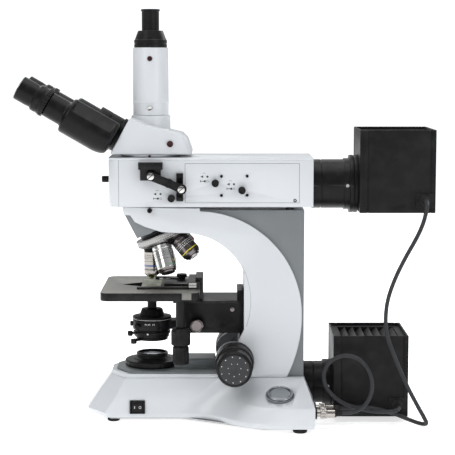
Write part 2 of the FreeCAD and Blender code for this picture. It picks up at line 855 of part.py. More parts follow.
def y_knob():
    steps = [(0, 82.7), (9.8, 82.7), (10.8, 83.7), (10.8, 105), (9.2, 107.6), (2.5, 107.6), (2.5, 162), (0, 162)]
    node("y_knob", turned(steps, "knob_x", "knob_y", 0))


def condenser_bracket():
    ring = rod(26.5, 13.4, 0, 0, 119.6)
    arm = block(10, 40, -13, 13, 120.5, 132)
    slider = block(38, 45.7, -16, 16, 112, 143)
    screws = [rod(3, 9, -20, y, 126, way) for y, way in ((-16, "-Y"), (16, "+Y"))]
    tip = rod(3.4, 5, -25, 0, 126, "-X")
    bracket = cut(fuse(ring, arm, slider, tip, *screws), rod(21, 30, 0, 0, 110))
    node("condenser_bracket", bracket)


def condenser():
    steps = [
        (0, "iris_low"),
        ("iris_r - 0.8", "iris_low"),
        ("iris_r", "iris_low + 0.8"),
        ("iris_r", 118.7),
        (20.9, 119.4),
        (20.9, 133.2),
        (26.5, 133.2),
        (26.5, 137),
        (17.3, 138),
        (14, 147),
        (6.3, 147.6),
        (6.3, 158),
        (5, 159.5),
        (0, 159.5),
    ]
    ear = block(-27, -12, 18, 27, "iris_low", 112)
    pin = rod(2, 8, -21, 23, "iris_low - 4")
    node("condenser", fuse(turned(steps), ear, pin))


def condenser_knob():
    knob = turned([(0, -14), (3, -14), (3, 0), (9.4, 0), (9.4, 7.5), (8, 9), (0, 9)], 62, -31, 129, ALONG["-Y"])
    node("condenser_knob", knob)


def aperture_lever():
    """Ring round the condenser with a bar that ends in a small barrel grip."""
    turn, reach = math.radians(205), 33
    ring = cut(rod(25, 3, 0, 0, 113.5), rod("iris_r + 0.1", 10, 0, 0, 110))
    bar = seat(doc.addObject("Part::Box", "Bar"), 0, 0, 113.7, Rotation(Z, math.degrees(turn)))
    bind(bar, Length=reach, Width=3.4, Height=2.6)
    tip = [reach * math.cos(turn) - 1.7 * math.sin(turn), reach * math.sin(turn) + 1.7 * math.cos(turn)]
    grip = turned([(0, -3.4), (2.6, -3.4), (3.6, -2.2), (3.6, 2.2), (2.6, 3.4), (0, 3.4)], *tip, 115)
    node("aperture_lever", fuse(ring, cut(bar, rod("iris_r + 0.1", 10, 0, 0, 110)), grip))


def filter_holder():
    low = "iris_low - 3.4"
    ring = cut(rod(21.5, 3, 0, 0, low), rod(17, 10, 0, 0, 100))
    ear = cut(rod(5, 3, -21, 23, low), rod(18, 10, 0, 0, 100))
    grip = seat(doc.addObject("Part::Box", "Grip"), 0, 0, low, Rotation(Z, 215))
    bind(grip, Length=30, Width=6, Height=3)
    grip = cut(grip, rod(19, 10, 0, 0, 100))
    knob = rod(4, 6, -24, -21, 102)
    node("filter_holder", cut(fuse(ring, ear, grip, knob), rod(2.06, 20, -21, 23, 100)))


# ---------------------------------------------------------------- nosepiece

SEAT_DEPTH = 58.0


def nosepiece_mount():
    tilt = about_y(-real("nose_tilt"))
    steps = [(0, -35.6), (30, -35.6), (30, -28.9), (0, -28.9)]
    stub = [(0, -41), (9, -41), (9, -35), (0, -35)]
    pieces = fuse(turned(steps, 0, 0, "apex_z", tilt), turned(stub, 0, 0, "apex_z", tilt))
    light = rod(8.5, 60, 0, 0, 235)
    node("nosepiece_mount", cut(pieces, light))


def objective_turn(place):
    """Turn of one of the five turret places about the nosepiece axis."""
    tilt = math.radians(real("nose_tilt"))
    return Rotation(Vector(math.sin(tilt), 0, -math.cos(tilt)), -72 * place)


def turret():
    tilt = about_y(-real("nose_tilt"))
    steps = [
        (9.1, -36),
        ("turret_r - 1", -36),
        ("turret_r", -37),
        ("turret_r", -45),
        ("turret_r - 1.5", -46.5),
        (34, -48),
        (22, -54),
        (8, -57),
        (0, -57),
        (0, -42),
        (9.1, -42),
    ]
    dish = turned(steps, 0, 0, "apex_z", tilt)
    bosses, bores = [], []
    for place in range(5):
        bosses.append(turned([(0, -46), (0, -SEAT_DEPTH), (12.8, -SEAT_DEPTH), (13.4, -SEAT_DEPTH + 0.6), (13.4, -46)],
                             0, 0, "apex_z", objective_turn(place)))
        bores.append(turned([(0, -36), (0, -70), (10, -70), (10, -36)], 0, 0, "apex_z", objective_turn(place)))
    node("turret", cut(fuse(dish, *bosses), *bores))


def objective(place, radius, tip_depth, nose_radius, shoulder_depth):
    """Thread, barrel, shoulder cone and front lens cell of one objective."""
    steps = [
        (0, -51),
        (9.95, -51),
        (9.95, -SEAT_DEPTH),
        (radius, -SEAT_DEPTH),
        (radius, "-(%s)" % shoulder_depth),
        (nose_radius + 1.5, "-(%s)" % (tip_depth - 2.5)),
        (nose_radius, "-(%s)" % (tip_depth - 2)),
        (nose_radius - 0.8, "-(%s)" % tip_depth),
        (0, "-(%s)" % tip_depth),
    ]
    return turned(steps, 0, 0, "apex_z", objective_turn(place))


def objectives():
    node("objective_blue", objective(0, 10.6, 98.8, 3.6, 91.5))
    node("objective_green", objective(1, 13.2, 96, 10, 90))
    node("objective_yellow", objective(2, 13.0, 90.5, 9, 83.5))
    far_pair = group(objective(3, 12.6, 80, 8, 74), objective(4, 10.6, 99.2, 3, 91))
    node("objectives_far", far_pair)


# ---------------------------------------------------------------- head


def head_casting():
    outline = [
        (-51.9, "head_low + 2.2"),
        (-51.2, "head_low"),
        (55.9, "head_low"),
        (54.9, 366.1),
        (48.9, 381.3),
        (14, 1, 43.1, 386.4),
        (28.7, 389.8),
        (-6.8, 399.1),
        (-24.4, 407),
        (-27, 406.6),
    ]
    body = slab(outline, "head_half")
    body = soften(body, 12, lambda edge: edge.CenterOfMass.x > -60 and runs(edge, Vector(-6, 0, 15.2).normalize()))
    collar = rod(26.2, 45, 0, 0, "tube_low - 45")
    inner = slab([(-38, 350), (44, 350), (44, 378), (-8, 393), (-20, 397)], "head_half - 5")
    tunnel = rod(9, 60, -20, 0, 370.5, about_y(-60))
    bore = rod(17, 80, 0, 0, 350)
    node("head_casting", cut(fuse(body, collar), inner, tunnel, bore))


def head_mounts():
    """Dovetail ring under the head and the hub that carries both eye arms."""
    tilt = about_y(-real("eye_tilt"))
    dovetail = turned([(16, "box_top + 0.3"), (40, "box_top + 0.3"), (44, "head_low"), (16, "head_low")])
    steps = [(6, -5), (24, -5), (24, 0), (9, 0), (9, 36), (6, 36)]
    hub = turned(steps, "hinge_x", 0, "hinge_z", tilt)
    node("head_mounts", group(dovetail, hub))


def head_screws():
    screws = [
        turned([(0, 0), (2.5, 0), (2.5, 3), (4.2, 3), (4.2, 6), (0, 6)], 27, "3 - head_half", 373.6, ALONG["-Y"]),
        turned([(0, 0), (2.5, 0), (2.5, 3.6), (3.4, 3.6), (3.4, 5.4), (0, 5.4)], 0, "-19", 485.8, ALONG["-Y"]),
        turned([(0, 0), (2, 0), (2, 5), (3.9, 5), (3.9, 12), (0, 12)], 0, "-19.5", 419.7, ALONG["-Y"]),
        turned([(0, 0), (1.7, 0), (1.7, 6), (0, 6)], 0, "-41", 357.8, ALONG["-Y"]),
    ]
    node("head_screws", group(*screws))


def photo_tube():
    steps = [
        (18, "tube_low"),
        (24, "tube_low"),
        (24, 427),
        (24.3, 427.4),
        (23.4, "tube_top"),
        (18, "tube_top"),
    ]
    bores = [rod(2.5, 12, 0, -28, 485.8, "+Y"), rod(2, 12, 0, -28, 419.7, "+Y")]
    node("photo_tube", cut(turned(steps), *bores))


def photo_port():
    steps = [
        (12, 480),
        (17.9, 480),
        (17.9, "tube_top"),
        (22, "tube_top"),
        (22, "tube_top + 10.2"),
        (16.4, 523),
        (11.6, 523),
        (11.6, 549),
        (12.6, 549),
        (12.6, "port_top - 0.6"),
        (12, "port_top"),
        (0, "port_top"),
        (0, 547),
        (9.5, 547),
        (9.5, 520),
        (12, 515),
    ]
    node("photo_port", turned(steps))


def eye_arms():
    """Two prism housings on one hub; each turns about the hub and carries an eyepiece tube."""
    tilt = about_y(-real("eye_tilt"))
    for name, side, hub_low, hub_high in (("eye_arm_right", -1, 0.4, 17.4), ("eye_arm_left", 1, 17.9, 34.9)):
        housing = turned([(0, 1), (20, 1), (24.6, 7), (24.6, 68), (22, 71), (17, 71), (17, 98), (0, 98)],
                         "hinge_x - eye_drop * 0.5", "%d * eye_half" % side, "hinge_z - eye_drop * 0.866", tilt)
        hub = turned([(9.05, hub_low), (22, hub_low), (22, hub_high), (9.05, hub_high)],
                     "hinge_x", 0, "hinge_z", tilt)
        other_low, other_high = (17.4, 36.5) if side < 0 else (0, 17.9)
        other = turned([(0, other_low), (22.6, other_low), (22.6, other_high), (0, other_high)],
                       "hinge_x", 0, "hinge_z", tilt)
        core = turned([(0, -2), (9.05, -2), (9.05, 40), (0, 40)], "hinge_x", 0, "hinge_z", tilt)
        bore = turned([(0, 50), (11.7, 50), (11.7, 100), (0, 100)],
                      "hinge_x - eye_drop * 0.5", "%d * eye_half" % side, "hinge_z - eye_drop * 0.866", tilt)
        node(name, cut(fuse(housing, hub), other, core, bore))


def eyepieces():
    tilt = about_y(-real("eye_tilt"))
    for name, side in (("eyepiece_right", -1), ("eyepiece_left", 1)):
        steps = [
            (0, 60),
            (11.6, 60),
            (11.6, 98.3),
            (19.5, 98.3),
            (19.5, 104),
            (18.6, 105),
            (18.6, 116),
            (16.2, 118),
            (16.5, 140),
            (15.6, 142),
            (13.4, 142),
            (12.4, 138.6),
            (0, 138.6),
        ]
        eyepiece = turned(steps, "hinge_x - eye_drop * 0.5", "%d * eye_half" % side, "hinge_z - eye_drop * 0.866", tilt)
        node(name, eyepiece)


# ---------------------------------------------------------------- illuminator controls


def mode_lever():
    """Rocking lever on the middle pivot, with a screw at each end."""
    pivot, near_end, far_end = (25.7, 323.5), (2.3, 332.6), (42.4, 315.6)
    face = "-box_half - 12.3"
    half_wide = 5.5
    parts = []
    for start, end in ((near_end, pivot), (pivot, far_end)):
        slope = math.atan2(end[1] - start[1], end[0] - start[0])
        corner = (start[0] + half_wide * math.sin(slope), start[1] - half_wide * math.cos(slope))
        bar = doc.addObject("Part::Box", "Bar")
        bind(bar, Length=math.dist(start, end), Width=4.5, Height=2 * half_wide)
        parts.append(seat(bar, corner[0], face + " - 4.5", corner[1], about_y(-math.degrees(slope))))
    for x, z, radius in (near_end + (6.2,), pivot + (6.2,), far_end + (7,)):
        parts.append(rod(radius, 4.5, x, face, z, "-Y"))
    for x, z in (near_end, far_end):
        parts.append(rod(5, 2.6, x, "-box_half - 16.7", z, "-Y"))
        parts.append(rod(1.8, 7, x, "-box_half - 6.4", z, "-Y"))
    node("mode_lever", cut(fuse(*parts), rod(2.56, 40, pivot[0], -45, pivot[1], "-Y")))


def pull_knobs():
    steps = [(0, -26), (2, -26), (2, 2.5), (4.2, 2.5), (4.8, 3.2), (4.8, 12), (4, 13), (0, 13)]
    for name, x, z in (("knob_slot", 28.9, 302.8), ("knob_field", 86.9, 322.9), ("knob_filter", 122.1, 313.5)):
        node(name, turned(steps, x, "-box_half", z, ALONG["-Y"]))
    front = [(0, -26), (2, -26), (2, 2.8), (4.3, 2.8), (4.3, 11), (3.6, 11.8), (0, 11.8)]
    node("knob_front", turned(front, "box_front", 0, 324, ALONG["-X"]))


# ---------------------------------------------------------------- build, check and write

BUILDERS = (
    base_casting, base_deck, bottom_plate, rubber_feet, power_supply, panel_fittings, stand_optics, arm_core,
    side_panels, illuminator_box, illuminator_lid, slot_block, case_screws, lamp_houses, lamp_grilles,
    lamp_tubes, halogen_lamps, cord_glands, switch_rocker, dial, field_ring, coarse_knobs, fine_knobs,
    focus_rack, stage_carrier, stage_plate, slide_holder, slide_clip, glass_slide, x_knob, y_knob,
    condenser_bracket, condenser, condenser_knob, aperture_lever, filter_holder, nosepiece_mount, turret,
    objectives, head_casting, head_mounts, head_screws, photo_tube, photo_port, eye_arms, eyepieces,
    mode_lever, pull_knobs,
)
for builder in BUILDERS:
    builder()
cord("cord_upper", UPPER_ROUTE)
cord("cord_lower", LOWER_ROUTE)
plug("plug_upper", -62)
plug("plug_lower", -90)
doc.recompute()

for thing in doc.Objects:
    if "Invalid" in thing.State or "Error" in thing.State:
        raise RuntimeError("%s (%s) did not build: %s" % (thing.Name, thing.Label, thing.State))
os.makedirs("parts", exist_ok=True)
whole = []
for name, piece in NODES.items():
    shape = piece.Shape
    if shape.isNull() or not shape.isValid() or not shape.Solids:
        raise RuntimeError("%s has no valid solid" % name)
    shape.exportStep("parts/%s.step" % name)
    whole.append(shape)
extent = Part.makeCompound(whole).BoundBox
print("%d nodes, x %.2f to %.2f, y %.2f to %.2f, z %.2f to %.2f" % (
    len(NODES), extent.XMin, extent.XMax, extent.YMin, extent.YMax, extent.ZMin, extent.ZMax))
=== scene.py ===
# %% [markdown]
# # Upright trinocular microscope: the looks
#
# The engineering model of this microscope is already made and packed: every casting, knob and screw has
# its true size and place, and every moving body has its joint. This notebook dresses that model. Some
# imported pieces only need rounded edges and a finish, so they are copied, bevelled and painted. Others,
# such as knurled rings, ribbed knobs, finned lids and cords, are built again here in mesh code.
#
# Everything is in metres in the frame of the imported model: +Z up, +X from the eyepieces towards the lamp
# houses, and Z = 0 on the desk.

import json
import math

import bmesh
import bpy
import numpy as np
from mathutils import Matrix, Vector
from mathutils.bvhtree import BVHTree


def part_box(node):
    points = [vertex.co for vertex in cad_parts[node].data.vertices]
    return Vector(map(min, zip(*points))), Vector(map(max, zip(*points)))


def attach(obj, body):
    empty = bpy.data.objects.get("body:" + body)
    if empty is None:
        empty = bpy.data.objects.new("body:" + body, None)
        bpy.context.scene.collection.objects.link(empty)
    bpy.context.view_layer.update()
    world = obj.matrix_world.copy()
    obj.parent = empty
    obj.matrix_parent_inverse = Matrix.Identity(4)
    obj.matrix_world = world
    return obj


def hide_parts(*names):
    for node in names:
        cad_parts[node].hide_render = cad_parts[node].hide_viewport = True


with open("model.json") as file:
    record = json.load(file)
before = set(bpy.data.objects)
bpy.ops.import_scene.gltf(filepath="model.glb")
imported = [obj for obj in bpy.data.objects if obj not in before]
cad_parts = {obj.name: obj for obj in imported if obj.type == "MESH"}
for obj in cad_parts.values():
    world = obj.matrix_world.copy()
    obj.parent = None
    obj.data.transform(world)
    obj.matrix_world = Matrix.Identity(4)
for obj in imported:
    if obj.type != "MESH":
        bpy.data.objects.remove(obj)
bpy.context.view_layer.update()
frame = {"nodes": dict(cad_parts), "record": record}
BODY_OF = {n: b for b, members in frame["record"]["behaviour"]["bodies"].items() for n in members}
SLOT_OF = {s["node"]: s["material_slot"] for s in frame["record"]["subparts"]}

# %% [markdown]
# ## The optical axis
#
# A microscope is laid out from its optical axis, the upright line through camera port, objective and
# condenser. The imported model's origin is under the middle of its footprint instead, so places along X
# are easier to read when they are counted from the axis. One helper makes that shift, and takes
# millimetres, because that is how such an instrument is drawn.

# %% Places counted from the optical axis
port_low, port_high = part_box("photo_port")
AXIS_X = (port_low.x + port_high.x) / 2
MM = 0.001


def at(x, y, z):
    """A point in metres from millimetres, with x counted from the optical axis."""
    return Vector((AXIS_X + x * MM, y * MM, z * MM))


print("optical axis at x = %.1f mm" % (AXIS_X / MM))

# %% [markdown]
# ## Camera
#
# A product view of an instrument is taken from far away with a long lens, so that parallel edges stay
# nearly parallel. The camera stands two metres off, level with the head, and looks slightly down. Its
# lens is chosen so that the instrument fills the frame.

# %% Camera
LENS_LENGTH = 117.2
CAMERA_PLACE = at(99.6, -2000, 484)
LOOK_DOWN, LOOK_ASIDE = math.radians(6.45), math.radians(-0.1)
camera_data = bpy.data.cameras.new("camera")
camera_data.lens = LENS_LENGTH
camera_data.sensor_width = 36
camera_data.clip_start, camera_data.clip_end = 0.05, 50
camera = bpy.data.objects.new("camera", camera_data)
camera.location = CAMERA_PLACE
camera.rotation_euler = (math.radians(90) - LOOK_DOWN, 0, LOOK_ASIDE)
bpy.context.scene.collection.objects.link(camera)
bpy.context.scene.camera = camera
print("camera at", [round(c, 3) for c in camera.location])

# %% [markdown]
# ## From mesh to piece
#
# Every piece made here does three things: it rides on a body, so that it moves with the joints; it
# carries its material; and it may replace imported nodes. Putting that in one function keeps the rest
# of the notebook about shape. Smooth shading is kept on round surfaces and broken at real edges.

# %% Register a piece
SHARP = math.radians(32)


def piece(name, mesh, material, body, stands_for=()):
    """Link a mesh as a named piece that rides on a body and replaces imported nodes."""
    mesh.name = name
    mesh.shade_smooth()
    mesh.set_sharp_from_angle(angle=SHARP)
    thing = bpy.data.objects.new(name, mesh)
    bpy.context.scene.collection.objects.link(thing)
    if material:
        for layer in material if isinstance(material, (list, tuple)) else [material]:
            mesh.materials.append(layer)
    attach(thing, body)
    if stands_for:
        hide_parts(*stands_for)
    print("%-24s %6d faces on %s" % (name, len(mesh.polygons), body))
    return thing


def mesh_from(bm):
    """Close a bmesh into a mesh with outward faces."""
    bmesh.ops.recalc_face_normals(bm, faces=bm.faces)
    mesh = bpy.data.meshes.new("shape")
    bm.to_mesh(mesh)
    bm.free()
    return mesh


# %% [markdown]
# ## Cords
#
# Two short leads join the lamp houses to the sockets on the base. Each is a flexible conduit with fine
# ribs. The route is a smooth NURBS curve guided by control points: straight out of the gland,
# down under its own weight, along the desk, and up into the connector. Rings of two radii set along the
# curve make the ribs, which is cheaper than sweeping a detailed profile and never self-intersects.

# %% Smooth route of a cord
def smooth_route(name, route):
    """Points along a NURBS curve that has the route's points as its control points."""
    curve = bpy.data.curves.new(name + "_route", "CURVE")
    curve.dimensions = "3D"
    spline = curve.splines.new("NURBS")
    spline.points.add(len(route) - 1)
    for control, place in zip(spline.points, route):
        control.co = (*place, 1)
    spline.order_u = 3
    spline.use_endpoint_u = True
    curve.resolution_u = 24
    thing = bpy.data.objects.new(name + "_route", curve)
    mesh = bpy.data.meshes.new_from_object(thing)
    points = np.array([v.co for v in mesh.vertices])
    bpy.data.objects.remove(thing)
    bpy.data.meshes.remove(mesh)
    bpy.data.curves.remove(curve)
    return points


def spaced(points, step):
    """The same line again with points at an even distance."""
    lengths = np.linalg.norm(np.diff(points, axis=0), axis=1)
    along = np.concatenate([[0], np.cumsum(lengths)])
    wanted = np.linspace(0, along[-1], max(2, round(along[-1] / step) + 1))
    return np.column_stack([np.interp(wanted, along, points[:, k]) for k in range(3)]), along[-1]


def tube(points, radii, sides):
    """A closed tube whose ring at each point has its own radius, without twist."""
    bm = bmesh.new()
    rings = []
    tangent = np.gradient(points, axis=0)
    tangent /= np.linalg.norm(tangent, axis=1)[:, None]
    across = np.cross(tangent[0], (0.3, 0.2, 0.9))
    for centre, direction, radius in zip(points, tangent, radii):
        across = across - direction * across.dot(direction)
        across /= np.linalg.norm(across)
        other = np.cross(direction, across)
        ring = []
        for side in range(sides):
            angle = 2 * math.pi * side / sides
            ring.append(bm.verts.new(centre + radius * (math.cos(angle) * across + math.sin(angle) * other)))
        rings.append(ring)
    for before, after in zip(rings, rings[1:]):
        for side in range(sides):
            following = (side + 1) % sides
            bm.faces.new((before[side], before[following], after[following], after[side]))
    bm.faces.new(rings[0][::-1])
    bm.faces.new(rings[-1])
    return mesh_from(bm)


# %% The two routes, control points in millimetres from the optical axis
UPPER_ROUTE = [
    (363.9, -69.5, 299),
    (363.4, -79, 297.5),
    (361.6, -85, 289),
    (357.5, -86, 272),
    (348.5, -86, 252),
    (337.0, -86, 232),
    (323.0, -86, 204),
    (312.5, -85, 174),
    (309.8, -84, 148),
    (312.0, -83, 124),
    (322.5, -82, 96),
    (339.4, -82, 57),
    (354.0, -83, 30),
    (362.5, -84, 15),
    (366.8, -82, 6.4),
    (365.0, -75.5, 3.4),
    (356.5, -71, 4.0),
    (344.5, -68, 8),
    (327.5, -65, 14.5),
    (307.0, -63, 20.5),
    (285.0, -62, 23.5),
    (268.0, -62, 22.4),
    (254.0, -62, 22),
]
LOWER_ROUTE = [
    (330.9, -69.5, 24.3),
    (328.5, -79.5, 23.5),
    (319.0, -83.5, 22.4),
    (302.0, -81, 21.4),
    (279.0, -77, 24),
    (253.0, -76, 33),
    (234.5, -76, 50),
    (228.5, -77, 71),
    (237.5, -79, 90),
    (258.0, -81, 99),
    (280.0, -83, 92),
    (292.5, -85, 72),
    (294.0, -87, 52),
    (287.5, -89, 36),
    (276.5, -90, 26),
    (265.0, -90, 22.4),
    (254.0, -90, 22),
]
CORD_RADIUS = 2.8 * MM
RIB_STEP = 0.75 * MM
RIB_DEPTH = 0.22 * MM
CORDS = {}


def ribbed_cord(name, route):
    """Make a ribbed lead along its route and note its piece, line, length and start."""
    line = smooth_route(name, [at(*point) for point in route])
    rings, length = spaced(line, RIB_STEP)
    radii = [CORD_RADIUS - (RIB_DEPTH if number % 2 else 0) for number in range(len(rings))]
    lead = piece(name + "_lead", tube(rings, radii, 20), None, "stand", [name])
    coarse, _ = spaced(line, 4 * MM)
    CORDS[name] = (lead, coarse, length, at(*route[0]))


for cord_name, cord_route in (("cord_upper", UPPER_ROUTE), ("cord_lower", LOWER_ROUTE)):
    ribbed_cord(cord_name, cord_route)
    print(cord_name, "is %.1f mm long" % (CORDS[cord_name][2] / MM))

# %% [markdown]
# ## Effects shared by the finishes
#
# Four small effects turn up on nearly every finish of an instrument: a fine grain from spraying or
# moulding, a thin film of dust on surfaces that face up, edges polished by handling that also carry
# painted highlights along rounded edges, and the circular marks of a lathe. Each is built once as a
# shader node group with named sockets, and every material then places it with its own values. A group
# puts out only masks and heights; the shader itself stays in the material.

# %% Node group helpers
NUMBER = "NodeSocketFloat"


def new_group(name, inputs, outputs):
    """A node group with (socket name, kind, default) inputs and (socket name, kind) outputs."""
    group = bpy.data.node_groups.new(name, "ShaderNodeTree")
    for label, kind, default in inputs:
        socket = group.interface.new_socket(name=label, in_out="INPUT", socket_type=kind)
        if default is not None:
            socket.default_value = default
    for label, kind in outputs:
        group.interface.new_socket(name=label, in_out="OUTPUT", socket_type=kind)
    entry = group.nodes.new("NodeGroupInput")
    leave = group.nodes.new("NodeGroupOutput")
    return group, entry.outputs, leave.inputs


def add(tree, kind, links=None, **settings):
    """A node in a tree: settings are its properties or input values, links feed its inputs."""
    made = tree.nodes.new(kind)
    for name, setting in settings.items():
        if hasattr(made, name):
            setattr(made, name, setting)
        else:
            made.inputs[name.replace("_", " ")].default_value = setting
    for name, source in (links or {}).items():
        tree.links.new(source, made.inputs[name])
    return made


def math_node(tree, operation, first, second):
    """A Math node's result; each operand is a number or a socket."""
    made = tree.nodes.new("ShaderNodeMath")
    made.operation = operation
    for socket, operand in zip(made.inputs, (first, second)):
        if isinstance(operand, (int, float)):
            socket.default_value = operand
        else:
            tree.links.new(operand, socket)
    return made.outputs[0]


def ramp(tree, value, low, high, out_low=0.0, out_high=1.0):
    """Map a value from one range to another and clamp it."""
    made = tree.nodes.new("ShaderNodeMapRange")
    tree.links.new(value, made.inputs["Value"])
    for label, number in (("From Min", low), ("From Max", high), ("To Min", out_low), ("To Max", out_high)):
        if isinstance(number, (int, float)):
            made.inputs[label].default_value = number
        else:
            tree.links.new(number, made.inputs[label])
    return made.outputs["Result"]


# %% Fine grain: paint, powder coat and moulded texture
grain_group, grain_in, grain_out = new_group(
    "fine_grain",
    [("Size", NUMBER, 900.0), ("Roundness", NUMBER, 0.5)],
    [("Height", NUMBER), ("Mottle", NUMBER)],
)
grain_place = add(grain_group, "ShaderNodeTexCoord").outputs["Object"]
grain_feed = {"Vector": grain_place, "Scale": grain_in["Size"]}
grain_noise = add(grain_group, "ShaderNodeTexNoise", grain_feed, Detail=3.0)
grain_cells = add(grain_group, "ShaderNodeTexVoronoi", grain_feed)
grain_mix = add(grain_group, "ShaderNodeMix", {"Factor": grain_in["Roundness"]})
grain_group.links.new(grain_noise.outputs[0], grain_mix.inputs["A"])
grain_group.links.new(grain_cells.outputs["Distance"], grain_mix.inputs["B"])
grain_broad = add(grain_group, "ShaderNodeTexNoise", {"Vector": grain_place}, Scale=14.0, Detail=2.0)
grain_group.links.new(grain_mix.outputs["Result"], grain_out["Height"])
grain_group.links.new(grain_broad.outputs[0], grain_out["Mottle"])

# %% Dust: thin on walls, thicker on what faces up, in patches
dust_group, dust_in, dust_out = new_group("settled_dust", [("Amount", NUMBER, 0.3)], [("Mask", NUMBER)])
dust_normal = add(dust_group, "ShaderNodeNewGeometry").outputs["Normal"]
dust_up = add(dust_group, "ShaderNodeSeparateXYZ", {0: dust_normal})
dust_place = add(dust_group, "ShaderNodeTexCoord").outputs["Object"]
dust_patch = add(dust_group, "ShaderNodeTexNoise", {"Vector": dust_place}, Scale=55.0, Detail=6.0)
dust_facing = ramp(dust_group, dust_up.outputs["Z"], -0.2, 1.0, 0.15, 1.0)
dust_speck = ramp(dust_group, dust_patch.outputs[0], 0.42, 0.75)
dust_both = math_node(dust_group, "MULTIPLY", dust_facing, dust_speck)
dust_mask = math_node(dust_group, "MULTIPLY", dust_both, dust_in["Amount"])
dust_group.links.new(dust_mask, dust_out["Mask"])

# %% Polished edges and painted edge highlights: where a rounded edge sticks out, broken up so that it isn't a drawn line
edge_group, edge_in, edge_out = new_group(
    "worn_and_highlit_edge",
    [("Amount", NUMBER, 0.5), ("Start", NUMBER, 0.53), ("Full", NUMBER, 0.62)],
    [("Mask", NUMBER)],
)
edge_geometry = add(edge_group, "ShaderNodeNewGeometry").outputs["Pointiness"]
edge_place = add(edge_group, "ShaderNodeTexCoord").outputs["Object"]
edge_noise = add(edge_group, "ShaderNodeTexNoise", {"Vector": edge_place}, Scale=160.0, Detail=4.0)
edge_outward = ramp(edge_group, edge_geometry, edge_in["Start"], edge_in["Full"])
edge_patch = ramp(edge_group, edge_noise.outputs[0], 0.35, 0.6)
edge_both = math_node(edge_group, "MULTIPLY", edge_outward, edge_patch)
edge_mask = math_node(edge_group, "MULTIPLY", edge_both, edge_in["Amount"])
edge_group.links.new(edge_mask, edge_out["Mask"])

# %% Lathe marks: fine rings that follow the profile, read from a turned piece's own map
lathe_group, lathe_in, lathe_out = new_group(
    "lathe_marks", [("Pitch", NUMBER, 4000.0)], [("Height", NUMBER), ("Shade", NUMBER)]
)
lathe_map = add(lathe_group, "ShaderNodeAttribute", attribute_name="turned", attribute_type="GEOMETRY")
lathe_stretch = add(lathe_group, "ShaderNodeSeparateXYZ", {0: lathe_map.outputs["Vector"]})
lathe_along = math_node(lathe_group, "MULTIPLY", lathe_stretch.outputs["Y"], lathe_in["Pitch"])
lathe_round = math_node(lathe_group, "MULTIPLY", lathe_stretch.outputs["X"], 3.0)
lathe_joined = add(lathe_group, "ShaderNodeCombineXYZ", {"X": lathe_along, "Y": lathe_round})
lathe_feed = {"Vector": lathe_joined.outputs[0]}
lathe_noise = add(lathe_group, "ShaderNodeTexNoise", lathe_feed, Scale=1.0, Detail=2.0)
lathe_group.links.new(lathe_noise.outputs[0], lathe_out["Height"])
lathe_group.links.new(ramp(lathe_group, lathe_noise.outputs[0], 0.3, 0.7), lathe_out["Shade"])
print("effects:", [g.name for g in bpy.data.node_groups])

# %% [markdown]
# ## Finishes
#
# The instrument has few finishes, used again and again: a hard pale paint on the castings, slate grey
# paint on the column and deck, black anodising on machined parts, a coarser black powder coat on the
# lamp houses, moulded black plastic, rubber, and several bare metals. One recipe builds them all: a base
# colour shifted a little by mottling, dust, and polished edges that are also painted highlights; a
# roughness shifted by the same masks; and a bump from the grain. Turned metals add lathe marks.

# %% The recipe
LATHE_PITCH = 4000.0
GRAIN_HEIGHT = 0.00004
DUST_COLOUR = (0.42, 0.41, 0.39)


